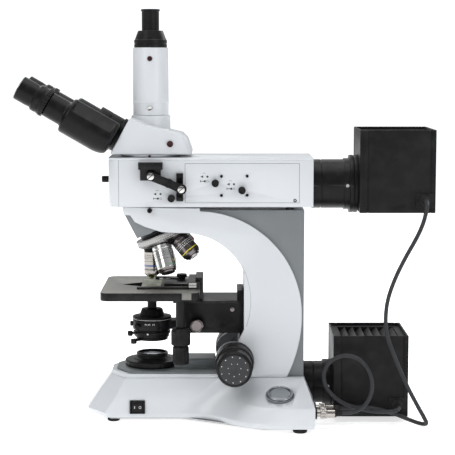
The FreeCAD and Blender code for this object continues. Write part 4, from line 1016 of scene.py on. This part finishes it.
# %% Push-pull knobs: a plain turned head with a lip and a dished end
for name, x, z in (("knob_slot", 28.9, 302.8), ("knob_field", 86.9, 322.9), ("knob_filter", 122.1, 313.5)):
    knob = lathe([(0, -26), (1.95, -26), (1.95, 2.4), (4.0, 2.4), (4.8, 3.4), (4.8, 5), (4.4, 5.3),
                  (4.4, 11.2), (4.8, 11.5), (4.8, 12.4), (4.2, 13), (3.2, 13), (2.6, 12.3), (0, 12.2)],
                 56, 0.2, carve=ribs(36, 0.22, 5.5, 11), fine=(5.3, 11.2, 0.8))
    turned_piece(name + "_turned", moved(knob, at(x, WALL, z), NEAR), PLASTIC, name)
front = lathe([(0, -26), (1.95, -26), (1.95, 2.7), (4.3, 2.7), (4.3, 11), (3.6, 11.8), (0, 11.8)], 56, 0.3,
              carve=ribs(32, 0.25, 3.4, 10.4), fine=(2.8, 11, 0.8))
turned_piece("knob_front_turned", moved(front, at(-55, 0, 324), LEFT), PLASTIC, "knob_front")

# %% Case screws with hexagon sockets
screws = [moved(socket_screw(1.9, 3, 1.1), at(x, WALL + 1, z), NEAR)
          for x, z in ((95, 331.5), (95, 306.2), (129, 331.8), (129, 306.5))]
screws.append(moved(socket_screw(2.2, 1.5, 1.2), at(192.4, WALL + 1, 299.2), NEAR))
screws.append(moved(socket_screw(3.2, 8, 1.6), at(0, WALL + 4, 286.2), NEAR))
screws.append(moved(socket_screw(5.5, 4.9, 2.6), at(186, -34, 285.7), UP))
turned_piece("case_screws_turned", merged(*screws), BLACK, "case_screws")

# %% Engraved border, pictograms and seams
def frame_lines(x1, z1, x2, z2, width):
    """The four sides of a rectangle as bars."""
    return [stroke(x1, z1, x2, z1, width), stroke(x2, z1, x2, z2, width), stroke(x2, z2, x1, z2, width),
            stroke(x1, z2, x1, z1, width)]


PANEL = at(0, WALL, 0)
marks("panel_border", frame_lines(47, 296.4, 198, 348.4, 0.45), PANEL, RIGHT, UP, INK, "stand",
      "white_paint", 0.03)
symbols = []
for x, z in ((16, 305), (78, 328), (113, 318)):
    symbols += [[(x - 11, z + 3), (x - 7, z + 1.2), (x - 7, z + 4.8)], dot(x - 1.5, z + 3, 1.5, 16)]
    symbols += [stroke(x - 11, z - 3, x - 5, z - 3, 0.9), stroke(x - 10.7, z - 4.4, x - 10.7, z - 1.6, 0.9)]
    symbols += [dot(x - 5, z - 3, 1.5, 16)] + arc_strokes(x - 1.4, z - 3, 1.3, 0, 360, 0.4, 20)
    symbols += arc_strokes(x - 6, z + 5.6, 2.4, 40, 140, 0.45, 8)
cheek = arc_strokes(31.5, 164, 102.5, -19.6, 27, 0.4, 40)
marks("cheek_line", cheek, at(0, -47, 0), RIGHT, UP, ARM_GREY, "stand", "white_paint", 0.03)
marks("panel_symbols", symbols, PANEL, RIGHT, UP, INK, "stand", "white_paint", 0.04)
seams = [stroke(-40.8, 291, -40.8, 352.5, 0.35)]
marks("cap_seam", seams, PANEL, RIGHT, UP, INK, "stand", "white_paint", 0.03)

# %% [markdown]
# ## Focus knobs
#
# The coarse knob is a wide drum with grooves across its grip; the fine knob stands outside it on its own
# shaft. The far and near pairs are the same. A dark disc is let into the end of the fine knob, and two
# rings of painted dots on it show the fine travel. They stand in for numbers.

# %% Coarse and fine knobs
FOCUS_X, FOCUS_Z = 112, 83
FOCUS = at(FOCUS_X, 0, FOCUS_Z)
for name, side, way in (("near", -1, NEAR), ("far", 1, FAR)):
    drum = lathe([(5.2, 46), (24.4, 46), (25.5, 47.2), (25.5, 52), (24.9, 52.4), (24.9, 53), (25.5, 53.4),
                  (25.5, 70), (24.9, 70.4), (24.9, 71), (25.5, 71.4), (25.5, 74), (23.6, 76), (2.7, 76),
                  (2.7, 60), (5.2, 60), (5.2, 46)], 180, 0.35, carve=ribs(90, 0.4, 53.6, 69.8),
                 fine=(53.4, 70, 1.5))
    grip = lathe([(2.6, 76.6), (22.4, 76.6), (23.4, 77.6), (23.4, 80), (22.8, 80.4), (22.8, 81), (23.4, 81.4),
                  (23.4, 100.5), (22.9, 100.9), (22.9, 101.3), (23.4, 101.7), (23.4, 102.8),
                  (21.2, 105), (20.4, 105), (20.0, 104.5), (0, 104.5)], 180, 0.3,
                 carve=ribs(90, 0.35, 81.6, 100.2), fine=(81.4, 100.5, 1.5))
    turned_piece("coarse_knob_" + name, moved(drum, FOCUS, way), PLASTIC, "coarse_knobs",
                 stands_for=["coarse_knobs"] if side < 0 else [])
    turned_piece("fine_knob_" + name, moved(grip, FOCUS, way), PLASTIC, "fine_knobs",
                 stands_for=["fine_knobs"] if side < 0 else [])
    face = lathe([(0, 104.55), (19.8, 104.55), (19.8, 104.8), (19, 104.95), (4, 104.95), (3.6, 104.7),
                  (0, 104.7)], 96, 0.1)
    piece("fine_face_" + name, mesh_from(moved(face, FOCUS, way)), KNOB_FACE, "fine")
    dots = []
    for ring, size, first, step in ((17.2, 0.62, 0, 33), (8.6, 0.5, 12, 51)):
        for turn in range(first, 360, step):
            angle = math.radians(turn)
            dots.append(dot(ring * math.cos(angle), ring * math.sin(angle), size, 16))
    marks("fine_dots_" + name, dots, at(FOCUS_X, side * 104.93, FOCUS_Z), RIGHT if side < 0 else LEFT, UP,
          MARKS, "fine", "black_plastic", 0.06)

# %% Shafts and pinion stay plain steel inside the stand
shaft = lathe([(2.7, -60), (5, -60), (5, 60), (2.7, 60), (2.7, -60)], 48, 0.2)
teeth = lathe([(5, -4.5), (6.2, -4.5), (6.2, 4.5), (5, 4.5), (5, -4.5)], 112, 0.05,
              carve=lambda a, h, r: 1.3 if r > 6 and (a * 14 / (2 * math.pi)) % 1 > 0.5 else 0)
piece("coarse_shaft", mesh_from(moved(merged(shaft, teeth), FOCUS, NEAR)), STEEL, "coarse")
core = lathe([(0, -95), (2.5, -95), (2.5, 95), (0, 95)], 32, 0.2)
piece("fine_shaft", mesh_from(moved(core, FOCUS, NEAR)), STEEL, "fine")

# %% [markdown]
# ## Stage
#
# The stage is a milled plate, black all over, with its top faces painted a lighter grey as a painted
# sheen. The slide lies in a holder with a sprung finger and rides along with it. Fine scales let a place
# on the slide be found again. The two knobs below are coaxial: the upper one moves the plate, the lower
# one moves the slide.

# %% Plates, slide and finger
STAGE_TOP = 180.0 * MM


def upper_face(face):
    """The lighter grey of a painted sheen for the faces on top of the plate, black for the rest."""
    return 1 if face.normal.z > 0.9 and face.calc_center_median().z > STAGE_TOP - 1 * MM else 0


dressed("stage_carrier", BLACK, 0.5, 2)
# The plate's top faces get the lighter grey: a painted sheen.
dressed("stage_plate", [STAGE_BLACK, STAGE_GREY_AND_SHEEN], 0.6, 2, paint=upper_face)
dressed("slide_holder", STAGE_BLACK, 0.3, 2)
dressed("slide_clip", BLACK, 0.35, 2)
dressed("glass_slide", SLIDE, 0.1, 1)
cover = prism(rectangle(9, 9), 181.42, 181.6, 0.05)
smear = prism(dot(1.5, -1, 4.2, 20), 181.41, 181.5, 0)
cover.transform(Matrix.Translation(AXIS))
smear.transform(Matrix.Translation(AXIS))
piece("cover_glass", mesh_from(cover), SLIDE, BODY_OF["glass_slide"])
piece("sample", mesh_from(smear), SAMPLE, BODY_OF["glass_slide"])
finger_knob = lathe([(0, 184.6), (4.6, 184.6), (4.6, 186), (7.1, 186.4), (7.2, 190), (6.6, 190.8),
                     (4.8, 191), (4.4, 190.6), (0, 190.6)], 96, 0.3,
                    carve=ribs(32, 0.35, 186.6, 189.8), fine=(186.4, 190, 0.8))
piece("finger_knob", mesh_from(moved(finger_knob, at(40, 26, 0))), PLASTIC, "clip")

# %% Screws on the carrier, seen from both sides
carrier_screws = []
for side, way in ((-1, NEAR), (1, FAR)):
    ring = lathe([(0, -0.4), (4.2, -0.4), (4.2, 0.5), (3.6, 0.8), (2.9, 0.5), (2.9, 0.2), (2.1, 0.2),
                  (2.1, 0.9), (0, 0.9)], 48, 0.1, bands=[(-1, 0.19, 1), (0.21, 0.89, 1)])
    slot = prism(rectangle(2.2, 0.35), 0.8, 0.98)
    seat = at(109.5, side * 30, 150)
    carrier_screws += [moved(ring, seat, way), moved(slot, seat, way, 0.5)]
piece("carrier_screws", mesh_from(merged(*carrier_screws)), [GUNMETAL, BLACK], "carrier")

# %% Scales along the stage and the holder
ticks = []
for number in range(31):
    long = 2.6 if number % 5 == 0 else 1.5
    ticks.append(stroke(-10 + number * 2.0, 0, -10 + number * 2.0, long, 0.28))
marks("stage_scale", ticks, at(-8, -78.5, 180), RIGHT, FAR, MARKS, "stage", "stage_black", 0.03)
labels = [[(0, row), (10, row), (10, row + 2.7), (0, row + 2.7)] for row in (0, 3.5)]
lines = [stroke(1.2 + 1.9 * number, row + 0.5, 1.2 + 1.9 * number, row + (2.4 if number % 2 else 1.6), 0.45)
         for row in (0, 3.5) for number in range(5)]
HOLDER_FRONT = at(51.4, -46, 182.4)
marks("holder_plates", labels, HOLDER_FRONT, RIGHT, UP, MARKS, "holder", "stage_black", 0.1)
marks("holder_lines", lines, HOLDER_FRONT, RIGHT, UP, INK, "holder", "stage_black", 0.14)
index_block = brick(43, 55.5, -79.6, -76, 171, 180.5, 0.4)
piece("index_block", mesh_from(index_block), STAGE_GREY_AND_SHEEN, "stage")

# %% Stage knobs, ribbed all round
STAGE_KNOBS = at(41, -64, 0)
upper = lathe([(2.6, 108.5), (11.8, 108.5), (12.8, 109.5), (12.8, 126.8), (12.2, 128), (10.5, 131),
               (4.1, 131), (4.1, 160), (2.6, 160), (2.6, 108.5)], 144, 0.3,
              carve=ribs(48, 0.4, 110, 126.4), fine=(109.5, 126.8, 2))
lower = lathe([(0, 82.7), (9.8, 82.7), (10.8, 83.7), (10.8, 104.8), (10.2, 106), (9.2, 107.6),
               (2.5, 107.6), (2.5, 162), (0, 162)], 144, 0.3, carve=ribs(44, 0.35, 84.2, 104.4),
              fine=(83.7, 104.8, 2))
turned_piece("x_knob_turned", moved(upper, STAGE_KNOBS), PLASTIC, "x_knob")
turned_piece("y_knob_turned", moved(lower, STAGE_KNOBS), PLASTIC, "y_knob")

# %% [markdown]
# ## Condenser and field lens
#
# The condenser gathers light below the slide. It hangs in a ring on a small rack, so it can be raised,
# and two chrome screws centre it. A lever works its iris, and a holder for a filter swings out below.

# %% Condenser
dressed("condenser_bracket", BLACK, 0.35, 2)
cone = lathe([(0, 108.3), (12, 108.3), (12.3, 109.5), (16, 109.5), (16.3, 108.3), (22.4, 108.3),
              (23.2, 109.1), (23.2, 113.2), (22.6, 113.4), (22.6, 116.6), (23.2, 116.8),
              (23.2, 118.4), (20.9, 119.4), (20.9, 133.2), (26.1, 133.2), (26.5, 133.6),
              (26.5, 136.4), (25.9, 137), (17.3, 138), (15.4, 143), (14, 147), (6.4, 147.6),
              (6.3, 157.8), (5.4, 159.5), (4.2, 159.5), (4, 158.6), (0, 158.6)], 112, 0.35,
             carve=ribs(72, 0.4, 109.4, 113), fine=(109.1, 113.2, 0.8))
ear = brick(-27, -12, 18, 27, 108.4, 112, 0.4)
pin = moved(lathe([(0, 104.3), (2, 104.3), (2, 112.3), (0, 112.3)], 32, 0.2), at(-21, 23, 0))
turned_piece("condenser_turned", merged(moved(cone, AXIS), ear, pin), BLACK, "condenser")
eye = lathe([(0, 158.7), (3.9, 158.7), (2.6, 159.2), (0, 159.45)], 48, 0.1)
piece("condenser_lens", mesh_from(moved(eye, AXIS)), COATED, "condenser")
rim = lathe([(26.45, 133.7), (26.56, 133.7), (26.56, 134.1), (26.45, 134.1), (26.45, 133.7)], 112, 0.01)
piece("condenser_line", mesh_from(moved(rim, AXIS)), MARKS, "condenser")
knob = lathe([(0, -14), (2.9, -14), (2.9, 0), (9.4, 0), (9.4, 7.4), (8.6, 8.6), (7.4, 9), (6.6, 8.5),
              (0, 8.5)], 72, 0.3, carve=ribs(40, 0.35, 0.6, 7), fine=(0, 7.4, 0.9))
turned_piece("condenser_knob_turned", moved(knob, at(62, -31, 129), NEAR), GUNMETAL, "condenser_knob")
dressed("aperture_lever", BLACK, 0.3, 2)
dressed("filter_holder", BLACK, 0.35, 2)
bracket_marks = [stroke(x, -0.8, x, 0.8 if x % 3 else 1.4, 0.7) for x in range(-6, 7, 2)]
marks("condenser_mark", bracket_marks, at(-2, -26.35, 128.5), RIGHT, UP, MARKS, "condenser",
      "black_metal", 0.1)
marks("aperture_mark", [rectangle(1, 1)], at(-5, -24.5, 115), RIGHT, UP, MARKS, "aperture",
      "black_metal", 0.25)

# %% Ribbed ring round the field lens
ring = lathe([(20.2, 69.4), (35.9, 69.4), (36.9, 70.4), (36.9, 76.4), (35.8, 77.7), (27, 77.7),
              (26, 78.1), (24.6, 79.4), (23.6, 80), (22.4, 80.4), (21.6, 81), (21.6, 81.6), (21.1, 82),
              (21.6, 82.4), (21.1, 83), (21.6, 83.4), (21.1, 84), (21.6, 84.4), (21.6, 86), (20.6, 87),
              (18.4, 87), (18.4, 84.7), (20.2, 84.6), (20.2, 69.4)],
             192, 0.25, carve=ribs(96, 0.45, 70.4, 76.6), fine=(70.4, 76.4, 1))
turned_piece("field_ring_turned", moved(ring, AXIS), BLACK, "field_ring")

# %% [markdown]
# ## Nosepiece and objectives
#
# Five objectives screw into a tilted turret, so that one of them stands upright on the axis. The turret
# has a knurled edge to turn it by. Each objective is a stack of turned rings with a colour code, one
# colour for each magnification, and rows of engraving that catch the light as fine lines.

# %% Turret frame
NOSE_TILT = math.radians(23)
NOSE_WAY = Vector((-math.sin(NOSE_TILT), 0, math.cos(NOSE_TILT)))
APEX = at(0, 0, 286.5)
dressed("nosepiece_mount", BLACK, 0.4, 2)


def at_place(bm, place):
    """Hang a bmesh made about Z on one of the five turret places."""
    turn = Matrix.Rotation(math.radians(-72 * place), 4, -NOSE_WAY)
    bm.transform(Matrix.Translation(APEX) @ turn)
    return bm


# %% Turret: knurled rim, cone and five seats
dish = lathe([(9.2, -36), (37.6, -36), (38.5, -36.9), (38.5, -37.6), (38.1, -37.9), (38.1, -44),
              (38.5, -44.3), (38.5, -45), (37, -46.5), (34, -48), (22, -54), (8, -57), (0, -57)], 240, 0.25,
             carve=knurl(80, 0.5, -44, -37.9, 0.35), fine=(-44.1, -37.9, 0.55), bands=[(-60, -46.6, 1)])
SEAT = [(10.1, -50), (10.1, -58), (12.8, -58), (13.4, -57.4), (13.4, -50), (10.1, -50)]
seats = [at_place(lathe(SEAT, 72, 0.25), place) for place in range(5)]
turned_piece("turret_rim", moved(dish, APEX, NOSE_WAY), [TURNED, GUNMETAL], "turret")
turned_piece("turret_seats", merged(*seats), BLACK, "turret", stands_for=[])


# %% Objectives: each starts with the thread that screws into its seat
THREAD = [(0, -51), (9.9, -51), (9.9, -58.1)]
OBJECTIVES = (
    ("objective_blue", "objective_blue",
     [(10.6, -58.1), (10.6, -60), (10.1, -60.3), (10.1, -61), (10.6, -61.3), (10.6, -84), (10.2, -84.3),
      (10.2, -85), (10.6, -85.3), (10.6, -91.5), (5.4, -95.8), (4.6, -96.6), (3.6, -97), (2.9, -98.8),
      (0, -98.8)],
     [NICKEL, BLUE, BLACK, CHROME],
     [(-81.4, -80.4, 1), (-79.6, -78.6, 1), (-61.2, -58, 2), (-99, -95.9, 3)], (-84, -61, 0.5)),
    ("objective_green", "objective_green",
     [(13.2, -58.1), (13.2, -63), (12.6, -63.4), (12.6, -64.2), (13.2, -64.6), (13.2, -90), (11.6, -93.4),
      (10, -94), (9.2, -96), (6, -96), (5.4, -95.4), (0, -95.2)],
     [CHROME, GREEN, GUNMETAL], [(-87.3, -86.5, 1), (-96.5, -91, 2)], (-90, -64.6, 0.6)),
    ("objective_yellow", "objective_yellow",
     [(13, -58.1), (13, -62), (12.4, -62.4), (12.4, -63.2), (13, -63.6), (13, -83.5), (10.6, -87.9),
      (9, -88.5), (8.2, -90.5), (5, -90.5), (4.4, -89.8), (0, -89.6)],
     [GUNMETAL, YELLOW, TURNED], [(-81, -79.4, 1), (-91, -88.6, 2)], (-83.5, -63.6, 0.6)),
    ("objective_red", "objectives_far",
     [(12.6, -58.1), (12.6, -74), (9.5, -77.5), (8, -78), (7.2, -80), (4, -80), (3.6, -79.4), (0, -79.2)],
     [NICKEL, RED, BLACK], [(-72, -70, 1), (-81, -76, 2)], (-74, -58.1, 0.6)),
    ("objective_plain", "objectives_far",
     [(10.6, -58.1), (10.6, -91), (4.5, -96.7), (3, -97.2), (2.2, -99.2), (0, -99.2)],
     [NICKEL, MARKS, BLACK], [(-82, -80.6, 1), (-100, -95, 2)], (-91, -58.1, 0.6)),
)
replaced = set()
for place, (name, node, barrel, materials, bands, fine) in enumerate(OBJECTIVES):
    shape = at_place(lathe(THREAD + barrel, 112, 0.3, fine=fine, bands=bands), place)
    nodes = [] if node in replaced else [node]
    replaced.add(node)
    piece(name + "_turned", mesh_from(shape), materials, BODY_OF[node], nodes)


# %% Engraving: rows of short dashes, uneven like words but saying nothing
def engraved(place, radius, rows, count):
    """Rows of dashes round a barrel at one of the turret's places."""
    parts = []
    for row in rows:
        for number in range(count):
            start = math.radians(-180 + 360 * number / count)
            width = math.radians(360 / count * (0.35 + 0.3 * ((number * 7 + row * 3) % 3) / 2))
            corners = [(start, row), (start + width, row), (start + width, row + 0.9), (start, row + 0.9)]
            bm = bmesh.new()
            low, high = (
                [bm.verts.new((out * MM * math.cos(a), out * MM * math.sin(a), z * MM)) for a, z in corners]
                for out in (radius - 0.05, radius + 0.03)
            )
            bm.faces.new(high)
            bm.faces.new(low[::-1])
            for n in range(4):
                bm.faces.new((low[n], low[(n + 1) % 4], high[(n + 1) % 4], high[n]))
            parts.append(bm)
    return at_place(merged(*parts), place)


for place, name, radius, rows, count, material, slot in (
    (0, "blue", 10.6, (-66, -68.4, -70.8, -74.5), 26, BLACK, "nickel"),
    (1, "green", 13.2, (-69, -71.6, -74.2, -78.5), 30, BLACK, "nickel"),
    (2, "yellow", 13.0, (-67.4, -70, -72.6), 30, MARKS, "gunmetal"),
):
    dashes = mesh_from(engraved(place, radius, rows, count))
    piece("engraving_" + name, dashes, material, BODY_OF["objective_" + name])

# %% [markdown]
# ## Base controls, feet and sockets
#
# The lamp's switch and brightness dial are on the base, near the hand. The dial is a spun metal cap in a
# ribbed skirt, set into the slope of the wing; the groove between them is painted black as shade, and the
# same black band covers the skirt's top chamfer. The two cords end in screw connectors at the back.

# %% Switch
dressed("switch_rocker", PLASTIC, 0.25, 2)
dressed("panel_fittings", PLASTIC, 0.3, 2)
SWITCH_FACE = at(-18, -53.32, 21)
for name, shapes in (("switch_bar", [stroke(-3.6, -1.6, -3.6, 1.6, 0.8)]),
                     ("switch_ring", arc_strokes(3.6, 0, 1.5, 0, 360, 0.55, 24))):
    marks(name, shapes, SWITCH_FACE, RIGHT, UP, MARKS, "switch", "black_plastic", 0.05)

# %% Brightness dial
DIAL_WAY = Vector((0, -math.sin(math.radians(20.4)), math.cos(math.radians(20.4))))
DIAL = at(172, -88, 43.6)
# Material 1, black, on the groove walls between cap and skirt and on the skirt's top chamfer: painted shade
# in the groove.
cap = lathe([(0, 0), (18.2, 0), (18.2, 4.4), (17.6, 5.2), (16.8, 6.3), (14.9, 6.4), (14.4, 5.2),
             (14.3, 4.1), (13.7, 4.1), (13.5, 5.1), (12.6, 5.5), (0, 5.6)], 144, 0.25,
            carve=ribs(60, 0.35, 0.4, 4.2), fine=(0, 4.4, 0.8), bands=[(4.45, 5.05, 1)])
turned_piece("dial_turned", moved(cap, DIAL, DIAL_WAY), [DIAL_GREY, PLASTIC], "dial")
dial_mark = moved(prism([(-0.5, 14.9), (0.5, 14.9), (0.5, 16.4), (-0.5, 16.4)], 6.35, 6.48), DIAL, DIAL_WAY)
piece("dial_mark", mesh_from(dial_mark), MARKS, "dial")

# %% Feet, glands and connectors
feet = []
for x, y, radius in ((-50.7, 38, 8.5), (197.8, 104, 9.5)):
    for side in (-1, 1):
        foot = lathe([(0, 0), (radius - 3, 0), (radius - 2.4, 0.5), (radius - 1.5, 0), (radius, 1.4),
                      (radius, 3.4), (0, 3.4)], 56, 0.3)
        feet.append(moved(foot, at(x, side * y, 0)))
turned_piece("feet_turned", merged(*feet), RUBBER, "rubber_feet")


def gland_cuts(angle, height, radius):
    """Grooves across the soft sleeve, and flats on the nut behind it."""
    if 9 < height < 21:
        return 0.5 if (height * 0.45) % 1 > 0.5 else 0
    return 0.5 * abs(math.sin(3 * angle)) if 4.8 < height < 6.7 else 0


glands = []
for x, _, z in (UPPER_ROUTE[0], LOWER_ROUTE[0]):
    relief = lathe([(0, 0), (3.9, 0), (3.9, 4.6), (7.5, 4.6), (7.5, 6.8), (4.6, 8.4), (4.2, 10),
                    (3.3, 22), (2.9, 22.4), (0, 22.4)], 48, 0.2, carve=gland_cuts, fine=(8.4, 22, 0.55))
    glands.append(moved(relief, at(x, -47.5, z), NEAR))
turned_piece("glands_turned", merged(*glands), RUBBER, "cord_glands")
for name, y in (("plug_upper", -62), ("plug_lower", -90)):
    shell = lathe([(0, 0), (4.8, 0), (4.8, 5), (7, 5), (7, 13), (6, 13.8), (6, 24), (4.6, 26),
                   (3.4, 33.5), (0, 33.5)], 72, 0.3, carve=ribs(24, 0.4, 5.5, 12.5), fine=(5, 13, 1),
                  bands=[(23.9, 40, 1)])
    turned_piece(name + "_turned", moved(shell, at(220.1, y, 22), RIGHT), [NICKEL, RUBBER], name)

# %% Working parts inside: lens, mirrors, lamps and supply
def optic(face):
    """Glass for the field lens in the deck, mirror for the rest."""
    return 0 if 70 * MM < face.calc_center_median().z < 100 * MM else 1


dressed("stand_optics", [COATED, MIRROR], 0, paint=optic)
for node, material in (("halogen_lamps", STEEL), ("power_supply", BOARD), ("focus_rack", STEEL),
                       ("bottom_plate", STEEL)):
    dressed(node, material, 0.2, 1)

# %% [markdown]
# ## Studio: floor and lights
#
# Instruments are shown on pale paper that runs on out of sight under an equally pale sky, so that no
# horizon cuts the picture from any side. The light is soft and comes mostly from above and both sides.
# The space in front stays darker, so that black parts look black and chrome shows a clean dark line
# between two bright ones.

# %% A wide floor
FLOOR_HALF = 14.0
sweep = bmesh.new()
bmesh.ops.create_circle(sweep, cap_ends=True, segments=96, radius=FLOOR_HALF)
sweep_mesh = bpy.data.meshes.new("sweep")
sweep.to_mesh(sweep_mesh)
sweep.free()
sweep_mesh.shade_smooth()
sweep_paper = bpy.data.materials.new("studio_paper")
sweep_paper.use_nodes = True
paper_shader = sweep_paper.node_tree.nodes["Principled BSDF"]
paper_shader.inputs["Base Color"].default_value = (0.88, 0.885, 0.89, 1)
paper_shader.inputs["Roughness"].default_value = 0.9
paper_shader.inputs["Specular IOR Level"].default_value = 0.1
paper_shader.inputs["Emission Color"].default_value = (1, 1, 1, 1)
paper_shader.inputs["Emission Strength"].default_value = 0.66
sweep_mesh.materials.append(sweep_paper)
floor = bpy.data.objects.new("studio_sweep", sweep_mesh)
bpy.context.scene.collection.objects.link(floor)

# %% Lights
def softbox(name, place, aim, size, power, colour=(1, 1, 1)):
    """A large area light that faces a point."""
    lamp = bpy.data.lights.new(name, "AREA")
    lamp.shape = "RECTANGLE"
    lamp.size, lamp.size_y = size
    lamp.energy = power
    lamp.color = colour
    thing = bpy.data.objects.new(name, lamp)
    thing.location = place
    thing.rotation_euler = (Vector(aim) - Vector(place)).to_track_quat("-Z", "Y").to_euler()
    thing.visible_camera = False
    bpy.context.scene.collection.objects.link(thing)


CENTRE = (0, 0, 0.25)
softbox("key", (-1.5, -1.7, 1.6), CENTRE, (1.1, 1.4), 15, (1.0, 0.99, 0.97))
softbox("fill", (1.7, -1.9, 1.0), CENTRE, (1.0, 1.5), 10, (0.97, 0.985, 1.0))
softbox("top", (0, -0.1, 2.3), CENTRE, (2.4, 1.8), 26)
softbox("back", (-0.6, 1.9, 1.7), CENTRE, (1.6, 1.2), 10)
softbox("rim", (1.2, 1.3, 1.3), CENTRE, (0.8, 0.8), 8)

world = bpy.data.worlds.new("studio")
bpy.context.scene.world = world
world.use_nodes = True
sky = world.node_tree
sky_place = add(sky, "ShaderNodeTexCoord").outputs["Generated"]
direction = add(sky, "ShaderNodeSeparateXYZ", {0: sky_place})
above = ramp(sky, direction.outputs["Z"], -0.1, 0.9, 0.26, 0.8)
front = ramp(sky, direction.outputs["Y"], -0.9, 0.4, 0.55, 1.0)
level = math_node(sky, "MULTIPLY", above, front)
from_camera = add(sky, "ShaderNodeLightPath").outputs["Is Camera Ray"]
seen = add(sky, "ShaderNodeMix", {"Factor": from_camera, "A": level})
seen.inputs["B"].default_value = 1.15
sky.links.new(seen.outputs["Result"], sky.nodes["Background"].inputs["Strength"])
sky.nodes["Background"].inputs["Color"].default_value = (0.97, 0.985, 1.0, 1)
bpy.context.scene.view_settings.view_transform = "Standard"
print("studio is set")

# %% [markdown]
# ## Last step
#
# The imported pieces that were not built again get their finish.

# %% Finish what is still the imported shape
BY_SLOT = {
    "white_paint": WHITE, "arm_grey": ARM_GREY, "deck_grey": DECK_GREY, "black_metal": BLACK,
    "lamp_black": LAMP_BLACK, "black_plastic": PLASTIC, "rubber": RUBBER, "cord_sleeve": CORD,
    "nickel": NICKEL, "chrome": CHROME, "gunmetal": GUNMETAL, "turret_metal": TURNED, "steel": STEEL,
    "brass": BRASS, "stage_black": STAGE_BLACK, "stage_grey": STAGE_GREY_AND_SHEEN, "dial_grey": DIAL_GREY,
    "clear_glass": GLASS, "board": BOARD,
}
for name, thing in frame["nodes"].items():
    thing.data.materials.clear()
    thing.data.materials.append(BY_SLOT[SLOT_OF[name]])
